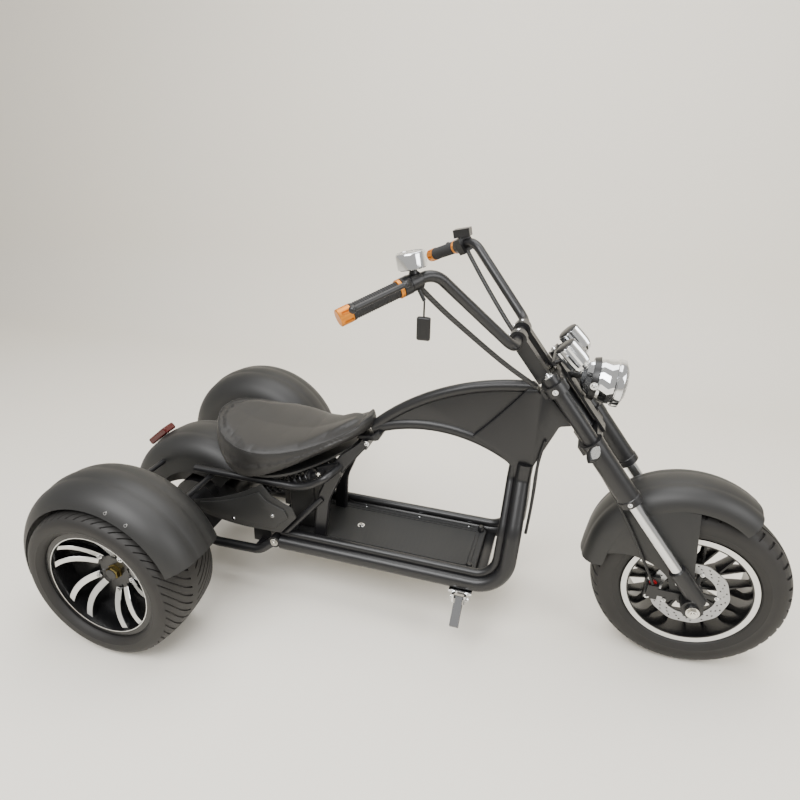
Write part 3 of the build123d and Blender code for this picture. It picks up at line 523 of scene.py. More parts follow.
def screw_head(tree, sizes):
    """A button head with a hexagonal recess, on its washer."""
    low = add(tree, "ShaderNodeCombineXYZ", Z=0.0005)
    washer = [("Radius", sizes["Washer Radius"])]
    washer = add(tree, "GeometryNodeMeshCylinder", washer, Vertices=24, Depth=0.001)
    washer = add(tree, "GeometryNodeTransform", [("Geometry", washer), ("Translation", low)])
    top, key = (
        add(tree, "ShaderNodeMath", [(0, sizes["Head Radius"]), (1, share)], operation="MULTIPLY")
        for share in (0.7, 0.45)
    )
    head = add(tree, "GeometryNodeMeshCone", [
        ("Radius Top", top), ("Radius Bottom", sizes["Head Radius"]), ("Depth", sizes["Head Height"]),
    ], Vertices=24)
    key = [("Radius", key), ("Depth", sizes["Head Height"])]
    key = add(tree, "GeometryNodeMeshCylinder", key, Vertices=6)
    lift = add(tree, "ShaderNodeCombineXYZ", [("Z", sizes["Head Height"])])
    lift = add(tree, "ShaderNodeVectorMath", [(0, lift)], operation="SCALE", Scale=1.5)
    key = add(tree, "GeometryNodeTransform", [("Geometry", key), ("Translation", lift)])
    cut = add(tree, "GeometryNodeMeshBoolean", [("Mesh 1", head), ("Mesh 2", key)], operation="DIFFERENCE")
    return add(tree, "GeometryNodeJoinGeometry", [("Geometry", washer), ("Geometry", cut)])


def nut_head(tree, sizes):
    """A hexagon nut on its washer, with the thread's end standing out."""
    washer = [("Radius", sizes["Washer Radius"])]
    washer = add(tree, "GeometryNodeMeshCylinder", washer, Vertices=24, Depth=0.002)
    nut = add(tree, "GeometryNodeMeshCone", [
        ("Radius Top", sizes["Head Radius"]), ("Radius Bottom", sizes["Head Radius"]),
        ("Depth", sizes["Head Height"]),
    ], Vertices=6)
    radius, long = (
        add(tree, "ShaderNodeMath", [(0, sizes[label]), (1, share)], operation="MULTIPLY")
        for label, share in (("Head Radius", 0.5), ("Head Height", 2.6))
    )
    stud = add(tree, "GeometryNodeMeshCylinder", [("Radius", radius), ("Depth", long)], Vertices=16)
    return add(tree, "GeometryNodeJoinGeometry", [("Geometry", part) for part in (washer, nut, stud)])


def short_thread(tree, sizes):
    """A short round thread along its way: one visible stitch, or one mark of the dial."""
    return add(tree, "GeometryNodeMeshCylinder", [
        ("Radius", sizes["Thread Radius"]), ("Depth", sizes["Stitch Length"]),
    ], Vertices=6)


def set_on_spots(name, spots, tree, sizes, body):
    """One plain mesh with a tree's shape at every (place, way, scale)."""
    mesh = bpy.data.meshes.new(name + "_spots")
    mesh.from_pydata([tuple(place) for place, way, scale in spots], [], [])
    ways = mesh.attributes.new("way", "FLOAT_VECTOR", "POINT")
    ways.data.foreach_set("vector", [part for place, way, scale in spots for part in way])
    scales = mesh.attributes.new("scale", "FLOAT", "POINT")
    scales.data.foreach_set("value", [scale for place, way, scale in spots])
    holder = linked(name + "_spots", mesh)
    modifier = holder.modifiers.new("shape", "NODES")
    modifier.node_group = tree
    for item in tree.interface.items_tree:
        if item.in_out == "INPUT" and item.name in sizes:
            modifier[item.identifier] = sizes[item.name]
    graph = bpy.context.evaluated_depsgraph_get()
    solid = bpy.data.meshes.new_from_object(holder.evaluated_get(graph))
    bpy.data.objects.remove(holder)
    solid.name = name
    smooth(solid, 30)
    return new_piece(name, solid, body)


# Tyres: the section of the solid, with the grooves sunk into a grid that is sheared, so that its
# lines run along each groove's walls
GROOVE_WALL = 0.05


def groove_steps(groove_share, land_steps):
    """One pitch of the tread: (where, sunk) round the tyre, with the groove first."""
    steps = [(0.0, 0), (GROOVE_WALL * 0.5, 1), (groove_share - GROOVE_WALL * 0.5, 1), (groove_share, 0)]
    for index in range(1, land_steps):
        steps.append((groove_share + (1 - groove_share) * index / land_steps, 0))
    return steps


def tyre_rows(outer_r, half, bands, tread_from, tread_to):
    """(across, radius, on the tread, in a ring groove) from the middle of the crown to the bead."""
    section = outer_r - RIM_R
    wall = (half, RIM_R + section * 0.48)
    shoulder = (half * 0.80, outer_r - section * 0.13)
    bead_half = half * 0.80 - 0.0004
    flange = (bead_half, RIM_R + RIM_FLANGE)
    crown = arc_through(shoulder, (0, outer_r), (-shoulder[0], shoulder[1]), 73)[36::-1]
    upper = arc_through(shoulder, (half * 0.955, outer_r - section * 0.27), wall, 9)[1:]
    lower = arc_through(wall, (half * 0.955, RIM_R + section * 0.27), flange, 13)[1:]
    rows = []
    for y, r in crown + upper:
        on_tread = int(tread_from <= y / half <= tread_to)
        sunk = int(any(low <= y / half <= high for low, high in bands))
        if rows and (on_tread, sunk) != rows[-1][2:]:
            last_y, last_r, last_tread, last_sunk = rows[-1]
            rows.append((last_y * 0.08 + y * 0.92, last_r * 0.08 + r * 0.92, last_tread, last_sunk))
        rows.append((y, r, on_tread, sunk))
    for index, (y, r) in enumerate(lower):
        rows.append((y + (0.0010 if index in (2, 8) else 0.0), r, 0, 0))
    rows.append((bead_half, RIM_R + 0.0004, 0, 0))
    return rows


def make_tyre(name, centre, outer_r, half, pitches, steps, depth, sweep, bands, tread, body):
    one_side = tyre_rows(outer_r, half, bands, *tread)
    rows = [(-y, r, on_tread, sunk) for y, r, on_tread, sunk in reversed(one_side[1:])] + one_side
    points = []
    for y, r, on_tread, sunk in rows:
        shear = sweep * (abs(y) / half) ** 1.5 / outer_r
        for pitch in range(pitches):
            for where, in_groove in steps:
                a = (pitch + where + (0.5 if y < 0 else 0.0)) / pitches * 2 * math.pi + shear
                radius = r - depth * max(in_groove * on_tread, sunk)
                points.append(centre + about_y(radius, a, y))
    faces = ring_faces(len(rows), pitches * len(steps), True)
    return mesh_piece(name, points, faces, TYRE_RUBBER, body, "tyre_rubber", 32.0)


front_tyre = make_tyre(
    "front_tyre_tread", FRONT_WHEEL, FRONT_R, FRONT_HALF, 44, groove_steps(0.24, 5), 0.005, 0.022,
    [(0.16, 0.23)], (0.42, 0.86), "front_wheel",
)
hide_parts("front_tyre")
for side in REAR_SPIN:
    rear_tyre = make_tyre(
        f"rear_tyre_tread_{side}", REAR_SPIN[side][0], REAR_R, REAR_HALF, 52, groove_steps(0.22, 4),
        0.005, 0.125, [], (0.09, 0.90), f"rear_wheel_{side}",
    )
    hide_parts(f"rear_tyre_{side}")

# Main frame: a top tube and an arch tube from the saddle's nose, the thin panel between them, the
# broad gusset at the neck, and the two side rails that rise to it
NOSE = (575, 543)
TOP_END = (1046, 733)
ARCH_END = (992, 512)
top_line = arc_through(NOSE, (808, 693), TOP_END, 49)
arch_line = arc_through(NOSE, (780, 584), ARCH_END, 41)
# The panel and the gusset stop under the upper yoke
yoke_corners = ((-46, -90), (354, -90), (354, 90), (-46, 90))
clear_corners = [at(FORK, u, v, w) for w in (130, 330) for u, v in yoke_corners]
clear_mesh = bpy.data.meshes.new("yoke_clearance")
clear_mesh.from_pydata(
    [tuple(corner) for corner in clear_corners], [],
    [(3, 2, 1, 0), (4, 5, 6, 7), (0, 1, 5, 4), (1, 2, 6, 5), (2, 3, 7, 6), (3, 0, 4, 7)],
)
clearance = linked("yoke_clearance", clear_mesh)
CLEAR = ("BOOLEAN", {"object": clearance, "operation": "DIFFERENCE", "solver": "EXACT"})
tube_from = next(i for i, (x, z) in enumerate(top_line) if x > 583)
tube_line = [at(CHASSIS, x, 0, z) for x, z in top_line[tube_from - 1:]]
top_tube = sweep_piece("frame_top_tube", tube_line, circle(0.016, 28), *ON_FRAME, modifiers=(CLEAR,))
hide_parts("main_frame")
sweep_piece("frame_arch_tube", [at(CHASSIS, x, 0, z) for x, z in arch_line[1:]], circle(0.017, 28), *ON_FRAME)
panel = top_line[2:] + [(1118, 660), (1085, 640), (1030, 512)] + arch_line[:1:-1]
plate("frame_panel", panel, -9, 9, *ON_FRAME, 1.0, (CLEAR,))
gusset = arc_through((1000, 733), (936, 652), (868, 576), 14) + [
    (930, 548), (980, 505), (982, 470), (1028, 470), (1036, 512), (1090, 640), (1124, 648), TOP_END,
]
plate("frame_gusset", gusset, -22, 22, *ON_FRAME, 5.0, (CLEAR,))
bpy.data.objects.remove(clearance)
nose = [(538, 517.5), (548, 530), (584, 532), (606, 552), (616, 540), (606, 522), (596, 517.5)]
plate("frame_nose_bracket", nose, -26, 26, *ON_FRAME, 3.0)
neck_line = [
    (-5, 17), (-5, 28), (-4, 29), (0, 29), (1, 27.5), (129, 27.5), (130, 29), (134, 29), (135, 28), (135, 17),
]
lathe("frame_neck", neck_line, FORK, *ON_FRAME, 56)
for name, side in SIDES:
    rail_points = [
        (335, side * 131, 197), (992, side * 131, 197), (1000, side * 98, 350), (1002, side * 17, 470),
        (1006, side * 15, 520),
    ]
    rail_line = [at(CHASSIS, *point) for point in filleted(rail_points, [78, 90, 40])]
    section = rounded(0.044, 0.043, 0.0195, -0.0105)
    rail = sweep_piece(f"frame_rail_{name}", rail_line, section, *ON_FRAME, side=ACROSS)
    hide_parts("lower_frame")
    bead = circle(0.0125, 24, -side * 0.009, 0.0175)
    sweep_piece(f"frame_rail_bead_{name}", rail_line, bead, *ON_FRAME, side=ACROSS)
for x in (359, 640, 930):
    bar = [(x - 15, 167.7), (x + 15, 167.7), (x + 15, 185.7), (x - 15, 185.7)]
    plate(f"frame_cross_bar_{x}", bar, -125, 125, *ON_FRAME, 3.0)

# Footboard: a mat with two grooves round its edge, and two knobs at its front
DECK_MIDDLE, DECK_LONG, DECK_WIDE = 625.5, 581.0, 217.4
deck_rings = [(1.5, 186), (0, 187.5), (0, 198.5), (1.5, 200)]
for inset in (14, 24):
    deck_rings += [(inset, 200), (inset + 0.5, 198), (inset + 3.5, 198), (inset + 4, 200)]
deck_points = []
for inset, z in deck_rings:
    outline = rounded(DECK_LONG - inset * 2, DECK_WIDE - inset * 2, 18 - inset * 0.4, steps=6)
    deck_points += [at(CHASSIS, DECK_MIDDLE + x, y, z) for x, y in outline]
deck_faces = capped_faces(len(deck_rings), len(outline))
mat = mesh_piece("footboard_mat", deck_points, deck_faces, DECK_RUBBER, "chassis", "deck_rubber", 30.0)
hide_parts("deck")
knob = [(0, 0), (0, 9), (15, 9), (18, 6.5), (18, 0)]
for name, side in SIDES:
    place = shifted(CHASSIS, 900, side * 92, 199.5)
    lathe(f"footboard_knob_{name}", knob, place, HOUSING_PLASTIC, "chassis", "deck_rubber", 28)

# Guards: shells of one wall, turned about the wheel between two angles above the horizontal
GUARD_WALL = 3.0


def guard_outline(half, crown_r, shoulder, low_out, low_in):
    """The shell's section as (across, radius), outer face first and then back along the inner one."""
    top = crown_r - 4
    bend = (half - shoulder * 0.26, top - shoulder * 0.3)
    corner = arc_through((half - shoulder, top), bend, (half, top - shoulder), 15)
    crown = arc_through((half - shoulder, top), (0, crown_r), (-half + shoulder, top), 15)[1:-1]
    outer = [(half, low_out)] if low_out < top - shoulder else []
    outer += [(y, r) for y, r in corner[::-1] if r > low_out] + crown
    outer += [(-y, r) for y, r in corner if r > low_in]
    outer += [(-half, low_in)] if low_in < top - shoulder else []
    outer = np.array(outer)
    along = np.gradient(outer, axis=0)
    along /= np.linalg.norm(along, axis=1, keepdims=True)
    inner = outer + np.stack([-along[:, 1], along[:, 0]], axis=1) * GUARD_WALL
    return [tuple(point) for point in outer], [tuple(point) for point in inner]


def guard_piece(name, node, centre, flip, section, front_angle, rear_angle, body, tail_mm=0.0, steps=56):
    """flip is -1 for a guard that mirrors the section; tail_mm flicks its rear tip out."""
    outer, inner = guard_outline(*section)
    count = len(outer)
    last = 2 * count - 1
    points = []
    for k in range(steps + 1):
        share = k / steps
        a = math.radians(front_angle + (rear_angle - front_angle) * share)
        flick = tail_mm * max(0.0, (share - 0.88) / 0.12) ** 2
        for y, r in outer + inner[::-1]:
            radius = (r + flick) / 1000
            points.append(centre + about_y(radius, a, flip * y / 1000))
    faces = ring_faces(steps + 1, count * 2, False)
    for base in (0, steps * count * 2):
        faces += [(base + i, base + i + 1, base + last - 1 - i, base + last - i) for i in range(count - 1)]
    piece = mesh_piece(name, points, faces, GUARD_PLASTIC, body, "guard_plastic", 50.0)
    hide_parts(node)


for side, sign in SIDES:
    guard_piece(
        f"rear_guard_{side}", f"rear_fender_{side}", at(CHASSIS, 0, sign * 394, 228), sign,
        (110, 282, 84, 231, 140), 20, 186, "chassis",
    )
guard_piece(
    "middle_guard", "rear_mudguard", at(CHASSIS, 22, 0, 196), 1, (100, 262, 62, 150, 150), 50, 188, "chassis"
)
guard_piece(
    "front_guard", "front_fender", at(FRONT_AXLE, -30, 0, 66), 1, (78, 240, 48, 184, 184), 50, 186,
    "steering", 8.0,
)
guard_side = [(-22, 249), (-2, 70), (24, 6), (20, -22), (-24, -24), (-48, 8), (-60, 46)]
guard_side += arc_through((-60, 46), (-112, 84), (-213, 86), 12)[1:]
guard_side += arc_through((-213, 86), (-160, 198), (-22, 249), 12)[1:-1]
for name, side in SIDES:
    plate(
        f"front_guard_stay_{name}", guard_side, side * 74, side * 78, GUARD_PLASTIC, "steering",
        "guard_plastic", 1.0, place=FRONT_AXLE,
    )

# Covers beside the under-seat space, each with a raised middle
cover_line = arc_through((62, 296), (175, 330), (300, 396), 14)
cover_line += [(330, 360), (392, 334), (404, 304), (350, 240)]
cover_line += arc_through((262, 236), (160, 242), (62, 262), 10)
raised_line = [(230 + (x - 230) * 0.86, 298 + (z - 298) * 0.74) for x, z in cover_line]
for name, side in SIDES:
    cover = plate(f"side_cover_{name}", cover_line, side * 156.3, side * 160.3, *CHASSIS_GUARD, 1.5)
    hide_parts("side_covers")
    plate(f"side_cover_middle_{name}", raised_line, side * 160, side * 166, *CHASSIS_GUARD, 3.0)


def rim_barrel_line(half_width):
    """The section of a rim's barrel as (along, radius), under a tyre of a half width."""
    half = half_width * 0.80
    return [
        (-half - 5, 164), (-half - 1, 164.6), (-half, 163.5), (-half, 152), (half, 152), (half, 163.5),
        (half + 1, 164.6), (half + 5, 164), (half + 5.6, 162), (half + 5, 147), (half - 8, 145.5),
        (-half + 8, 145.5), (-half - 5, 147),
    ]


# Rear rims: a deep barrel, its floor, the hub, and five pairs of swept blades that lean out to the rim.
# The blades' edges are curves of degrees over the radius
BLADE_RADII = np.linspace(42, 151, 14)
LEAD = np.polyfit((42, 99.75, 150.5), (11, 6.5, 19.5), 2)
TRAIL = np.polyfit((42, 99.75, 150.5), (-11, -4.5, 11.5), 2)
BLADE_DEPTH = 16
BLADE_BEVEL = 1.2
floor_line = [(15, 44), (19, 44), (31, 149), (27, 149)]
hub_line = [(15, 15.4), (15, 48), (17, 50), (27, 50), (29, 48), (29, 15.4)]
for side, sign in SIDES:
    place = REAR_SPIN[side]
    rear_rim = (REAR_RIM_FINISH, f"rear_wheel_{side}", "rim_black")
    barrel = lathe(f"rear_rim_barrel_{side}", rim_barrel_line(REAR_HALF * 1000), place, *rear_rim, 96)
    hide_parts(f"rear_rim_{side}")
    lathe(f"rear_rim_floor_{side}", floor_line, place, *rear_rim, 72)
    lathe(f"rear_rim_hub_{side}", hub_line, place, *rear_rim, 64)
    points, faces = [], []
    for index in range(10):
        middle = (index // 2) * 72 + (13 if index % 2 else -13)
        base = len(points)
        for radius in BLADE_RADII:
            front = 29 + max(0.0, radius - 46) * 0.53
            lead, trail, bevel = np.polyval(LEAD, radius), np.polyval(TRAIL, radius), 60 / radius
            for angle, depth in (
                (lead, BLADE_DEPTH), (lead, BLADE_BEVEL), (lead - bevel, 0),
                (trail + bevel, 0), (trail, BLADE_BEVEL), (trail, BLADE_DEPTH),
            ):
                point = about_y(radius, math.radians(middle + angle), sign * (front - depth))
                points.append(place[0] + point / 1000)
        faces += capped_faces(len(BLADE_RADII), 6, base)
    mesh_piece(f"rear_rim_blades_{side}", points, faces, *rear_rim, 30.0)

# Front rim: ten forked spokes, thick at the hub and thin at the rim
barrel = lathe("front_rim_barrel", rim_barrel_line(FRONT_HALF * 1000), FRONT_SPIN, *FRONT_RIM, 96)
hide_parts("front_rim")
hub_line = [(-48, 8.4), (-48, 30), (-44, 34), (44, 34), (48, 30), (48, 8.4)]
lathe("front_rim_hub", hub_line, FRONT_SPIN, *FRONT_RIM, 56)
spoke_points, spoke_faces = [], []
BAR_SECTION = [(-1, 0.82), (-0.7, 1), (0.7, 1), (1, 0.82), (1, -0.82), (0.7, -1), (-0.7, -1), (-1, -0.82)]


def spoke_bar(start, end, wide_start, wide_end):
    """One tapered bar from a (radius, degrees) place to another, chamfered on both faces."""
    base = len(spoke_points)
    places = [about_y(r, math.radians(a)) for r, a in (start, end)]
    along = (places[1] - places[0]).normalized()
    across = Vector((-along.z, 0, along.x))
    for place, radius, wide in zip(places, (start[0], end[0]), (wide_start, wide_end)):
        deep = np.interp(radius, (30, 44, 149), (30, 30, 11))
        for x, y in BAR_SECTION:
            offset = across * x * wide / 2 + Vector((0, y * deep, 0))
            spoke_points.append(FRONT_WHEEL + (place + offset) / 1000)
    spoke_faces.extend(capped_faces(2, 8, base))


for index in range(10):
    middle = index * 36
    spoke_bar((26, middle), (84, middle), 11, 9)
    for lean in (9, -9):
        spoke_bar((78, middle), (150, middle + lean), 7.5, 6)
mesh_piece("front_rim_spokes", spoke_points, spoke_faces, *FRONT_RIM, 30.0)

# Fork: bright stanchions below the sleeves, and the sleeves' lower collars
for name, side in SIDES:
    leg = shifted(FORK, 18, side * 104, 0)
    stanchion = [(-411, 0), (-411, 15.4), (-193, 15.4), (-193, 0)]
    lathe(f"stanchion_{name}", stanchion, leg, HARD_CHROME, "steering", "bright_chrome", 40)
    collar = [(-194, 16), (-194, 27.5), (-192.5, 29), (-176, 29), (-174, 27.3), (-174, 26)]
    lathe(f"sleeve_collar_{name}", collar, leg, FRAME_COAT, "steering", "frame_paint", 48)

# Saddle. Each row gives the ridge and the lower edge below it, on one side, from tail to nose:
# x, half width and height of the ridge, then of the edge
SADDLE_ROWS = [
    (104, 0, 557, 108, 0, 470),
    (110, 34, 556, 112, 34, 468),
    (120, 66, 551, 118, 66, 462),
    (150, 118, 533, 146, 112, 446),
    (200, 153, 514, 192, 146, 418),
    (262, 171, 504, 256, 160, 410),
    (330, 163, 502, 328, 154, 432),
    (400, 132, 508, 398, 126, 460),
    (470, 97, 530, 468, 90, 492),
    (530, 68, 561, 528, 62, 522),
    (566, 44, 585, 564, 38, 542),
    (579, 16, 591, 578, 14, 548),
    (580, 0, 591, 579, 0, 549),
]
SPINE = [(150, 530), (190, 512), (250, 504), (330, 502), (400, 512), (470, 540), (530, 570), (560, 583)]
PAN_X, PAN_Z = np.array(arc_through((150, 440), (300, 418), (582, 548), 40)).T
SADDLE_AROUND = 144
TOP_RINGS = 16
SIDE_RINGS = 9


def smooth_loop(values, count):
    """Points round a closed Catmull-Rom line through the given ones."""
    values = np.array(values, float)
    total = len(values)
    out = []
    for k in range(count):
        t = k / count * total
        i = int(t)
        f = t - i
        p0, p1, p2, p3 = (values[(i + j) % total] for j in (-1, 0, 1, 2))
        bend = 2 * p0 - 5 * p1 + 4 * p2 - p3
        cubic = 3 * p1 - p0 - 3 * p2 + p3
        out.append(0.5 * (2 * p1 + (p2 - p0) * f + bend * f * f + cubic * f ** 3))
    return np.array(out)


around = SADDLE_ROWS + [(a, -b, c, d, -e, f) for a, b, c, d, e, f in SADDLE_ROWS[-2:0:-1]]
loop = smooth_loop(around, SADDLE_AROUND)
ridge, edge = loop[:, :3], loop[:, 3:]
spine_x = np.clip(ridge[:, 0], SPINE[0][0], SPINE[-1][0])
spine_z = np.interp(spine_x, [x for x, z in SPINE], [z for x, z in SPINE])
spine = np.stack([spine_x, np.zeros(SADDLE_AROUND), spine_z], axis=1)
outward = ridge - spine
outward[:, 2] = 0
outward /= np.maximum(np.linalg.norm(outward, axis=1, keepdims=True), 1e-6)
rings = []
for step in range(TOP_RINGS):
    s = step / TOP_RINGS
    ring = spine * (1 - s) + ridge * s
    ring[:, 2] = spine[:, 2] + (ridge[:, 2] - spine[:, 2]) * s ** 2.4 + 3.0 * math.sin(math.pi * s)
    rings.append(ring)
rings.append(ridge - outward * 2.5 + np.array([0, 0, 1.2]))
rings.append(ridge + outward * 0.5 + np.array([0, 0, -1.5]))
for step in range(1, SIDE_RINGS + 1):
    s = step / SIDE_RINGS
    swell = 8.0 * math.sin(math.pi * min(s * 1.1, 1.0)) ** 0.8
    rings.append(ridge * (1 - s) + edge * s + outward * swell)
for s in (0.12, 0.45, 0.8, 1.0):
    below = edge * (1 - s) + np.stack([spine_x, np.zeros(SADDLE_AROUND), edge[:, 2]], axis=1) * s
    pan_top = np.interp(below[:, 0], PAN_X, PAN_Z)
    below[:, 2] = np.maximum(below[:, 2] + 2.0, np.where(s > 0.2, pan_top + 2.0, 0.0))
    rings.append(below)
saddle_points = [at(CHASSIS, *point) for ring in rings for point in ring]
saddle_faces = ring_faces(len(rings), SADDLE_AROUND, False)
for base in (0, (len(rings) - 1) * SADDLE_AROUND):
    for i in range(SADDLE_AROUND // 2):
        j = (SADDLE_AROUND - i) % SADDLE_AROUND
        k = SADDLE_AROUND - i - 1
        quad = (base + i, base + i + 1, base + k, base + j)
        saddle_faces.append(tuple(dict.fromkeys(quad)))
saddle = mesh_piece("saddle", saddle_points, saddle_faces, SADDLE_COVER, "chassis", "seat_cover", 60.0)

VOXEL_SIZE = 0.006
CLOTH_LIMIT = 0.006
CLOTH_FRAMES = 20
CLOTH_PRESSURE = 4.0
CLOTH_TENSION = 25.0
HELD_FROM_X = 560 / 1000 - MIDDLE_X


def stretch_cover(piece):
    """Remeshes the saddle and lets its cover swell as cloth over the foam, held below and at the nose."""
    piece.data = worked(piece.data, [("REMESH", {"mode": "VOXEL", "voxel_size": VOXEL_SIZE})])
    mesh = piece.data
    start = np.zeros(len(mesh.vertices) * 3)
    mesh.vertices.foreach_get("co", start)
    start = start.reshape(-1, 3)
    facing = np.array([vertex.normal.z for vertex in mesh.vertices])
    cloth = piece.modifiers.new("cover", "CLOTH")
    cloth.settings.quality = 5
    cloth.settings.use_pressure = True
    cloth.settings.uniform_pressure_force = CLOTH_PRESSURE
    cloth.settings.tension_stiffness = CLOTH_TENSION
    cloth.settings.effector_weights.gravity = 0.0
    for frame_number in range(1, CLOTH_FRAMES + 1):
        bpy.context.scene.frame_set(frame_number)
    graph = bpy.context.evaluated_depsgraph_get()
    swollen = piece.evaluated_get(graph).to_mesh()
    end = np.zeros(len(swollen.vertices) * 3)
    swollen.vertices.foreach_get("co", end)
    piece.evaluated_get(graph).to_mesh_clear()
    piece.modifiers.clear()
    bpy.context.scene.frame_set(1)
    shift = end.reshape(-1, 3) - start
    long = np.linalg.norm(shift, axis=1)
    free = (facing > -0.2) & (start[:, 0] < HELD_FROM_X)
    share = np.where(free, np.minimum(1.0, CLOTH_LIMIT / np.maximum(long, 1e-9)), 0.0)
    mesh.vertices.foreach_set("co", (start + shift * share[:, None]).ravel())
    mesh.update()


stretch_cover(saddle)
saddle.data = worked(saddle.data, [("SUBSURF", {"levels": 1, "render_levels": 1})])
smooth(saddle.data)
if not saddle.data.materials:
    saddle.data.materials.append(SADDLE_COVER)
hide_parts("seat_cushion")

# The welt and its stitches lie on the cover as it is after the swelling
cover = BVHTree.FromPolygons(
    [vertex.co.copy() for vertex in saddle.data.vertices],
    [tuple(face.vertices) for face in saddle.data.polygons],
)
welt_line = [cover.find_nearest(at(CHASSIS, *point))[0] for point in ridge + outward * 1.0]
sweep_piece("saddle_welt", welt_line, circle(0.0022, 8), WELT_CORD, "chassis", "seat_cover", closed=True)
STITCH_SIZES = {"Thread Radius": 0.0006, "Stitch Length": 0.0034}
stitch_tree = spot_tree("saddle_stitch", STITCH_SIZES, short_thread, WELT_CORD)
STITCHES = 260
seam_line = smooth_loop(ridge * 0.93 + edge * 0.07 + outward * 2.0, STITCHES)
stitches = []
for index in range(STITCHES):
    way = Vector(seam_line[(index + 1) % STITCHES] - seam_line[index])
    place = cover.find_nearest(at(CHASSIS, *seam_line[index]))[0]
    stitches.append((place, way.normalized(), 1.0))
set_on_spots("saddle_stitches", stitches, stitch_tree, STITCH_SIZES, "chassis")

# Spring legs: a damper with its cups and eyes, and a real coil between the cups
SPRING_TURNS = 8
SHOCK_Y = 90
SHOCK_TOP = (452, 419)
SHOCK_FOOT = (246, 322)
for name, side in SIDES:
    top = at(CHASSIS, SHOCK_TOP[0], side * SHOCK_Y, SHOCK_TOP[1])
    foot = at(CHASSIS, SHOCK_FOOT[0], side * SHOCK_Y, SHOCK_FOOT[1])
    way = (foot - top).normalized()
    long = (foot - top).length * 1000
    damper = [
        (6, 0), (6, 9), (22, 9), (22, 22), (28, 23), (31, 22), (31, 9), (long * 0.55, 9), (long * 0.55, 7),
        (long - 32, 7), (long - 32, 22), (long - 28, 23), (long - 22, 22), (long - 22, 9), (long - 6, 9),
        (long - 6, 0),
    ]
    leg = lathe(f"damper_{name}", damper, (top, way), *ON_DAMPER, 32)
    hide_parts("rear_shocks")
    for end_name, place in (("top", top), ("foot", foot)):
        eye = [(-10, 0), (-10, 13), (10, 13), (10, 0)]
        lathe(f"damper_eye_{end_name}_{name}", eye, (place, (0, 1, 0)), *ON_DAMPER, 28)
    across = way.orthogonal().normalized()
    third = way.cross(across)
    coil = []
    for k in range(SPRING_TURNS * 24 + 1):
        a = k / 24 * 2 * math.pi
        along = 34 + (long - 68) * k / (SPRING_TURNS * 24)
        coil.append(top + way * along / 1000 + (across * math.cos(a) + third * math.sin(a)) * 0.0175)
    sweep_piece(f"coil_spring_{name}", coil, circle(0.0034, 8), FRAME_COAT, "chassis", "cast_black")

# Headlamp: a bright bowl pressed in facets, its front ring, a dark insert with three lamps, the lens
LAMP = shifted(FORK, 96, 0, 82, 134)
bowl_line = [
    (-52, 0), (-50, 20), (-40, 35), (-24, 46), (-4, 52), (14, 54.5), (27, 54.5), (29, 57.5), (45.6, 57.5),
    (45.6, 53.5), (38, 50), (22, 43), (8, 29), (2, 14), (0, 0),
]
bowl = lathe("headlamp_bowl", bowl_line, LAMP, *LAMP_SHELL, 22, 1.0, facets=True)
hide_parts("headlamp")
ring_line = [(30, 56), (31.5, 58.3), (44, 58.3), (46.2, 57), (46.2, 54), (44, 54)]
lathe("headlamp_ring", ring_line, LAMP, *LAMP_SHELL, 72)
band_line = [(-27, 46), (-27, 50.5), (-13, 54.5), (-13, 50)]
lathe("headlamp_band", band_line, LAMP, *LAMP_BLACK, 64)
oval = [(24 * math.cos(a), 42 * math.sin(a)) for a in np.linspace(0, 2 * math.pi, 41)[:-1]]
prism("headlamp_insert", oval, LAMP, 24, 30, *LAMP_BLACK, 2.0)
for index, across in enumerate((-24, 0, 24)):
    bulb = [(29, 0), (29, 9), (33, 8.5), (37, 6), (39, 0)]
    lathe(f"headlamp_bulb_{index}", bulb, shifted(LAMP, 0, across, 0), *LAMP_SHELL, 24)
lens_line = [
    (60.3, 0), (59.2, 16), (56, 34), (51.5, 45), (46.5, 53.5), (46.5, 51.5), (50.3, 44), (54.6, 33),
    (57.8, 16), (58.8, 0),
]
lens = lathe("headlamp_dome", lens_line, LAMP, *CLEAR_LENS, 64)
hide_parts("headlamp_lens")

# Two lamps above it: fluted bright barrels with a black top and a rounded lower end
for name, side in SIDES:
    aux_frame = shifted(FORK, 82, side * 62, 190, 173)
    barrel_line = [
        (-28, 0), (-28, 24), (-25, 28), (-6, 28.5), (14, 28.5), (28, 26.5), (38, 20), (45, 11), (48, 0),
    ]
    barrel = lathe(
        f"aux_lamp_{name}", barrel_line, aux_frame, *LAMP_SHELL, 32, 8.0,
        sunk=lambda ring, step: 2.2 * (step % 2) * (0 < ring < 8),
    )
    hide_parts("aux_lamps")
    cap_line = [(-31, 0), (-31, 20), (-28.5, 25), (-26, 26), (-26, 0)]
    lathe(f"aux_lamp_cap_{name}", cap_line, aux_frame, *LAMP_BLACK, 40)

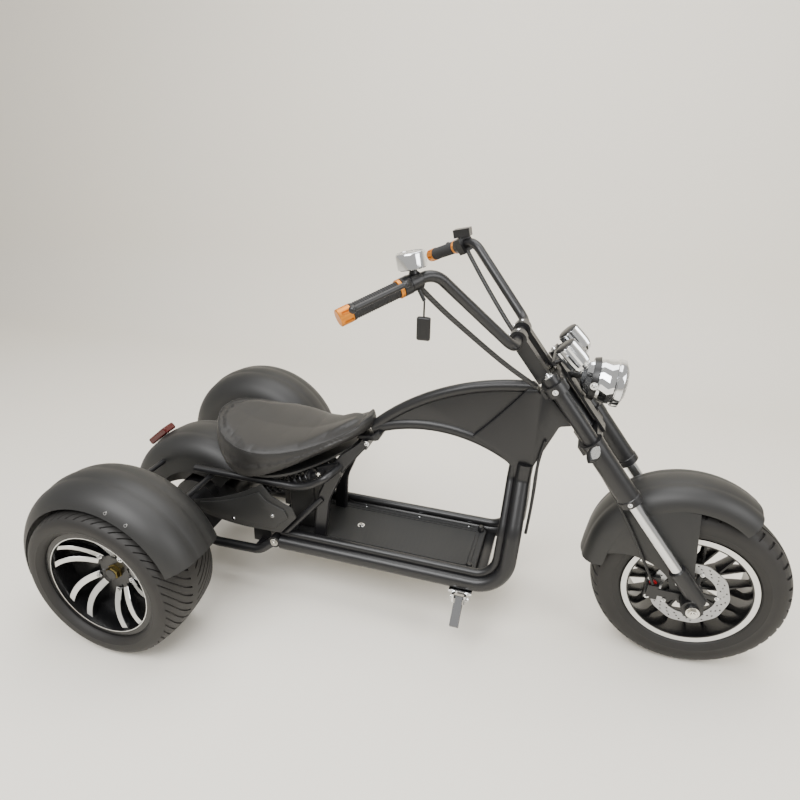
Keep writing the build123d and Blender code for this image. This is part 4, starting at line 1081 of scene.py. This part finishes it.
# Indicators: a pale lens let into each leaf
leaf_edge = arc_through((0, -32), (14, -6), (0, 32), 20)
leaf_body = leaf_edge + [(-x, y) for x, y in leaf_edge[-2:0:-1]]
leaf_outline = [(x * 0.78, y * 0.78) for x, y in leaf_body]
for name, side in SIDES:
    leaf = shifted(FORK, 30, side * 195, 2) @ Matrix.Rotation(math.radians(side * 20), 4, "Z")
    leaf = leaf @ Matrix.Rotation(math.radians(70), 4, "Y")
    leaf = leaf @ Matrix.Rotation(math.radians(90 - side * 90), 4, "Z")
    shell = prism(f"indicator_{name}", leaf_body, leaf, -6, 6, *BAR_PLASTIC, 3.0)
    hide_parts("indicators")
    stalk = [at(FORK, u, side * v, w) for u, v, w in ((20, 128, -20), (28, 172, 0), (29, 180, 1))]
    sweep_piece(f"indicator_stalk_{name}", stalk, circle(0.005, 16), *BAR_PLASTIC)
    prism(f"indicator_lens_{name}", leaf_outline, leaf, 5.4, 7.6, *CLEAR_LENS, 0.8)
    prism(f"indicator_reflector_{name}", leaf_outline, leaf, 4.8, 6.3, *LAMP_SHELL, 0.3)

# Gauge: bright body and ring, dark dial with bare marks, and its glass
GAUGE = shifted(FORK, -65.28, -252.71, 538.68, 26)
body_line = [(27, 0), (27, 29), (29, 31), (56, 31), (59.6, 30), (60.8, 28.5), (60.8, 26), (58, 25.6), (58, 0)]
gauge = lathe("gauge_body", body_line, GAUGE, *LAMP_SHELL, 56)
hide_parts("gauge")
lathe("gauge_neck", [(10, 0), (10, 12), (24, 8), (28, 8), (28, 0)], GAUGE, *BAR_PLASTIC, 32)
clamp_line = [(-13, 12.8), (-13, 18), (-12, 19), (12, 19), (13, 18), (13, 12.8)]
clamp_place = (at(GAUGE, 0, 0, 0), toward(FORK, -0.7443, -0.6480, 0.1620))
lathe("gauge_clamp", clamp_line, clamp_place, *BAR_PLASTIC, 40)
dial_line = [(57.8, 0), (57.8, 25.4), (58.4, 25.4), (58.4, 0)]
lathe("gauge_dial", dial_line, GAUGE, DIAL_FACE, "steering", "black_plastic", 48)
MARK_SIZES = {"Thread Radius": 0.0006, "Stitch Length": 0.005}
mark_tree = spot_tree("dial_mark", MARK_SIZES, short_thread, DIAL_INK)
marks = []
for index in range(11):
    a = math.radians(-60 + index * 30)
    place = at(GAUGE, 20.5 * math.cos(a), 20.5 * math.sin(a), 58.4)
    marks.append((place, toward(GAUGE, math.cos(a), math.sin(a), 0), 1.0))
marks.append((at(GAUGE, 5, 6, 58.7), toward(GAUGE, 0.64, 0.77, 0), 3.2))
set_on_spots("gauge_marks", marks, mark_tree, MARK_SIZES, "steering")
glass_line = [(59.4, 0), (59.4, 25.8), (60.2, 25.8), (60.8, 14), (60.9, 0)]
lathe("gauge_glass", glass_line, GAUGE, *CLEAR_LENS, 48)

# Grips: rubber with close ribs, between an orange collar and an orange cap with slots
bar_end = Vector((-177.67, 350.56, 563.14))
grip_along = Vector((-0.7443, 0.6480, 0.1620))
for name, side in SIDES:
    way = toward(FORK, grip_along.x, side * grip_along.y, grip_along.z)
    place = (at(FORK, bar_end.x, side * bar_end.y, bar_end.z), way)
    grip_line = [(-0.6, 13), (-0.6, 18), (-3.5, 18.3), (-5, 17)]
    for index in range(20):
        z = -6.5 - index * 5
        grip_line += [(z, 17.3), (z - 1.0, 16.2), (z - 3.0, 16.2), (z - 4.0, 17.3)]
    grip_line += [(-108.4, 17), (-108.4, 13)]
    grip = lathe(f"grip_{name}", grip_line, place, GRIP_RUBBER, "steering", "grip_rubber", 36)
    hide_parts("grips")
    collar_line = [(-118, 12.8), (-118, 19), (-117, 20), (-110, 20), (-109, 19), (-109, 12.8)]
    lathe(f"grip_collar_{name}", collar_line, place, *ORANGE_PART, 48)
    cap_line = [
        (0.3, 0), (0.3, 17.5), (1.5, 18.5), (3, 18.5), (3.5, 18.5), (22, 18.5), (22.5, 18.5), (28, 18.5),
        (29.7, 16.5), (29.7, 0),
    ]
    cap = lathe(
        f"grip_cap_{name}", cap_line, place, *ORANGE_PART, 60,
        sunk=lambda ring, step: 4.0 * (step % 10 < 3 and ring in (4, 5)),
    )
    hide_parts("grip_caps")

# Rear axle ends: a brassy nut on each
nut_line = [(29.4, 0), (29.4, 22), (32, 22), (32.6, 19.5), (43, 19.5), (45.4, 16.5), (45.4, 0)]
for name in REAR_SPIN:
    place = REAR_SPIN[name]
    lathe(f"axle_nut_{name}", nut_line, place, BRASSY_ZINC, f"rear_wheel_{name}", "rim_black", 6, 20.0)

# Front brake disc: a thin ring with three rows of openings, on a carrier with five arms, and the
# red caps of the caliper's pistons
DISC_Y = -0.058
DISC_INNER = 0.066
DISC_WIDE = 0.030
DISC_WAVE = 0.0012
DISC_ROWS = 9
DISC_STEPS = 120
disc_points = []
for row in range(DISC_ROWS + 1):
    radius = DISC_INNER + DISC_WIDE * row / DISC_ROWS
    for step in range(DISC_STEPS):
        a = 2 * math.pi * step / DISC_STEPS
        wave = DISC_WAVE * math.cos(a * 10)
        reach = radius - DISC_WAVE + wave if row == DISC_ROWS else radius
        disc_points.append(FRONT_WHEEL + about_y(reach, a, DISC_Y))
disc_faces = []
for row in range(DISC_ROWS):
    for step in range(DISC_STEPS):
        if row in (2, 4, 6) and step % 6 == row - 2:
            continue
        i, j = row * DISC_STEPS + step, row * DISC_STEPS + (step + 1) % DISC_STEPS
        disc_faces.append((i, j, j + DISC_STEPS, i + DISC_STEPS))
disc_mesh = bpy.data.meshes.new("brake_disc")
disc_mesh.from_pydata([tuple(point) for point in disc_points], [], disc_faces)
disc_mesh = worked(disc_mesh, [("SOLIDIFY", {"thickness": 0.004, "offset": 0.0})])
disc_mesh.materials.append(STEEL)
brake_disc = new_piece("brake_disc", disc_mesh, "front_wheel")
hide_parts("front_disc")
carrier_line = [(-61, 0), (-61, 24), (-60, 30), (-56, 34), (-48.6, 34), (-48.6, 14), (-55, 0)]
lathe("disc_carrier", carrier_line, FRONT_SPIN, CAST_ENAMEL, "front_wheel", "disc_steel", 48)
arm = [(-21, -9), (0, -5.5), (20, -6), (22, 0), (20, 6), (0, 5.5), (-21, 9)]
for index in range(5):
    arm_frame = FRONT_AXLE @ Matrix.Translation((0, DISC_Y, 0))
    arm_frame = arm_frame @ Matrix.Rotation(math.radians(index * 72), 4, "Y")
    arm_frame = arm_frame @ Matrix.Rotation(math.radians(90), 4, "X") @ Matrix.Translation((0.050, 0, 0))
    prism(f"disc_arm_{index}", arm, arm_frame, -2.2, 2.2, CAST_ENAMEL, "front_wheel", "disc_steel", 0.6)
cap_line = [(0, 0), (0, 10), (2.5, 10), (4.5, 8), (4.5, 0)]
for index, z in enumerate((-17, 17)):
    place = (at(FRONT_AXLE, -90, -69, z), (0, -1, 0))
    lathe(f"brake_piston_cap_{index}", cap_line, place, RED_ENAMEL, "steering", "cast_black", 28)

# Screws and nuts. Places are in millimetres of a frame, and the way in its axes
OUT = (0, 1, 0)
UP = (0, 0, 1)
fasteners = {}


def fasten(body, kind, frame_matrix, radius, way, places, both=True):
    """Sets screws or nuts of a head radius at places on the left, and mirrored where both is true."""
    spots = fasteners.setdefault((body, kind), [])
    for x, y, z in places:
        for sign in (1, -1) if both and y else (1,):
            there = toward(frame_matrix, way[0], sign * way[1], way[2])
            spots.append((at(frame_matrix, x, sign * y, z), there, radius / 5.0))


def round_places(radius, y, z, degrees):
    """Places round an axle at a height z, as (x, y, z)."""
    return [(radius * math.cos(a), y, z + radius * math.sin(a)) for a in np.radians(degrees)]


fasten("chassis", "screw", CHASSIS, 8, UP, [(541, 0, 200)])
fasten("chassis", "screw", CHASSIS, 7, OUT, [(493, 79.7, 431)])
fasten("chassis", "screw", CHASSIS, 6, OUT, [(576, 42, 515)])
fasten("chassis", "screw", CHASSIS, 5, OUT, [(-80, 100.2, 368), (110, 100.2, 368)])
fasten("chassis", "screw", CHASSIS, 5, OUT, [(90, 160.3, 280), (330, 166, 300), (200, 166, 262)])
fasten("chassis", "screw", CHASSIS, 4, UP, [(x, 104, 200) for x in (380, 520, 700, 860)])
for place in round_places(243, 487, 228, (60, 74)):
    lean = Vector((place[0], 0, place[2] - 228)).normalized() * 0.5
    fasten("chassis", "screw", CHASSIS, 6, (lean.x, 0.86, lean.z), [place])
for sign in (-1, 1):
    fasten("chassis", "screw", CHASSIS, 3.6, OUT, [(888 + sign * 22, 153, 162.7)])
    fasten("chassis", "screw", CHASSIS, 6, (sign, 0, 0), [(888 + sign * 22, 156, 146)])
fasten("chassis", "nut", CHASSIS, 8, OUT, [(452, 100, 419), (246, 107, 322)])
fasten("chassis", "nut", CHASSIS, 9, OUT, [(316.7, 146, 188)])
fasten("steering", "screw", FORK, 11, UP, [(18, 104, 182)])
fasten("steering", "screw", FORK, 4.5, UP, [(-20, 42, 302), (4, 42, 302)])
fasten("steering", "screw", FORK, 4, OUT, [(18, 133, -183)])
fasten("steering", "screw", FORK, 5, OUT, [(18, 132, 149), (18, 132, -19)])
fasten("steering", "screw", FRONT_AXLE, 5, OUT, [(-14, 78, 60), (-34, 78, 36)])
fasten("steering", "screw", LAMP, 7, OUT, [(0, 53, -18)])
fasten("steering", "screw", FRONT_AXLE, 5, (0, -1, 0), [(-98, -69, -28), (-98, -69, 28)], False)
fasten("steering", "nut", FRONT_AXLE, 12, OUT, [(0, 132.5, 0)])
fasten("steering", "nut", FORK, 16, UP, [(0, 0, 163)])
fifths = np.arange(5) * 72
for name, side in SIDES:
    bolts = round_places(58, side * 441.2, 228, fifths - 13)
    fasten(f"rear_wheel_{name}", "screw", CHASSIS, 6.5, (0, side, 0), bolts, False)
bolts = round_places(24, -61, 0, fifths) + round_places(66, -60.2, 0, -fifths)
fasten("front_wheel", "screw", FRONT_AXLE, 4, (0, -1, 0), bolts, False)
HEAD_SIZES = {"Head Radius": 0.005, "Head Height": 0.0035, "Washer Radius": 0.0068}
HEAD_TREES = {
    "screw": spot_tree("button_screw", HEAD_SIZES, screw_head, HARD_CHROME),
    "nut": spot_tree("hexagon_nut", HEAD_SIZES, nut_head, ZINC),
}
for (body, kind), spots in fasteners.items():
    set_on_spots(f"{kind}s_{body}", spots, HEAD_TREES[kind], HEAD_SIZES, body)

# Cables: one smooth line each, by the points of the solids' routes
CABLES = [
    ("lead_left", "frame_cables", "chassis", 0.008, CABLE_SHEATH, CHASSIS,
     [(1060, 26.3, 600), (1046, 26.3, 540), (1046, 44, 400), (1040, 60, 300)]),
    ("lead_right", "frame_cables", "chassis", 0.008, CABLE_SHEATH, CHASSIS,
     [(1060, -26.3, 600), (1046, -26.3, 540), (1046, -44, 400), (1040, -60, 330)]),
    ("front_brake_hose", "brake_hose", "steering", 0.008, CABLE_SHEATH, FORK,
     [(-12, -72, -32.3), (-14, -74, -120), (-20, -84, -240), (-46.2, -84, -380.5), (-60.2, -79, -442.5)]),
]
for name, side in SIDES:
    CABLES.append((f"loom_{name}", "looms", "steering", 0.012, LOOM_WRAP, FORK, [
        (-66, side * 250, 532), (-66, side * 222, 470), (-60, side * 168, 372), (-52, side * 120, 280),
        (-40, side * 92, 215), (-26, side * 78, 168),
    ]))
for name, node, body, thick, finish, place, line in CABLES:
    line = [at(place, *point) for point in line]
    curve = bpy.data.curves.new(name, "CURVE")
    curve.dimensions = "3D"
    curve.bevel_depth = thick / 2
    curve.bevel_resolution = 4
    curve.use_fill_caps = True
    spline = curve.splines.new("NURBS")
    spline.points.add(len(line) - 1)
    for point, spot in zip(spline.points, line):
        point.co = (*spot, 1.0)
    spline.order_u = 3
    spline.use_endpoint_u = True
    spline.resolution_u = 16
    curve.materials.append(finish)
    cable = new_piece(name, curve, body)
    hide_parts(node)

make_camera()

# Pale floor and wall, drawn as one swept sheet
FLOOR_HALF = 6.0
WALL_Y = 2.4
WALL_HIGH = 4.0
SWEEP_R = 0.6
stage_mesh = bpy.data.meshes.new("studio")
sweep_line = [(-FLOOR_HALF, 0.0)]
sweep_line += [
    (WALL_Y - SWEEP_R + SWEEP_R * math.sin(a), SWEEP_R - SWEEP_R * math.cos(a))
    for a in np.linspace(0, math.pi / 2, 12)
]
sweep_line += [(WALL_Y, WALL_HIGH)]
points = [(x, y, z) for x in (-FLOOR_HALF, FLOOR_HALF) for y, z in sweep_line]
count = len(sweep_line)
faces = [(i, i + count, i + count + 1, i + 1) for i in range(count - 1)]
stage_mesh.from_pydata(points, [], faces)
smooth(stage_mesh)
studio = linked("studio", stage_mesh)
# Matte painted board, warm and pale
PALE, tree, shader, place = new_material("pale_backdrop")
shader.inputs["Base Color"].default_value = linear("#f0ebe0")
shader.inputs["Roughness"].default_value = 0.8
studio.data.materials.append(PALE)

area_light("key_light", (-0.6, -2.2, 3.0), (0, 0, 0.3), (2.4, 1.6), 140)
area_light("fill_light", (2.8, -1.2, 2.2), (0.3, 0, 0.4), (1.8, 1.8), 60)
area_light("top_light", (0.0, 0.4, 3.4), (0, 0, 0.2), (3.0, 2.0), 90)
world = bpy.data.worlds.new("soft_sky")
world.use_nodes = True
sky = world.node_tree.nodes["Background"]
sky.inputs["Color"].default_value = linear("#f4f1ec")
sky.inputs["Strength"].default_value = 0.66
bpy.context.scene.world = world
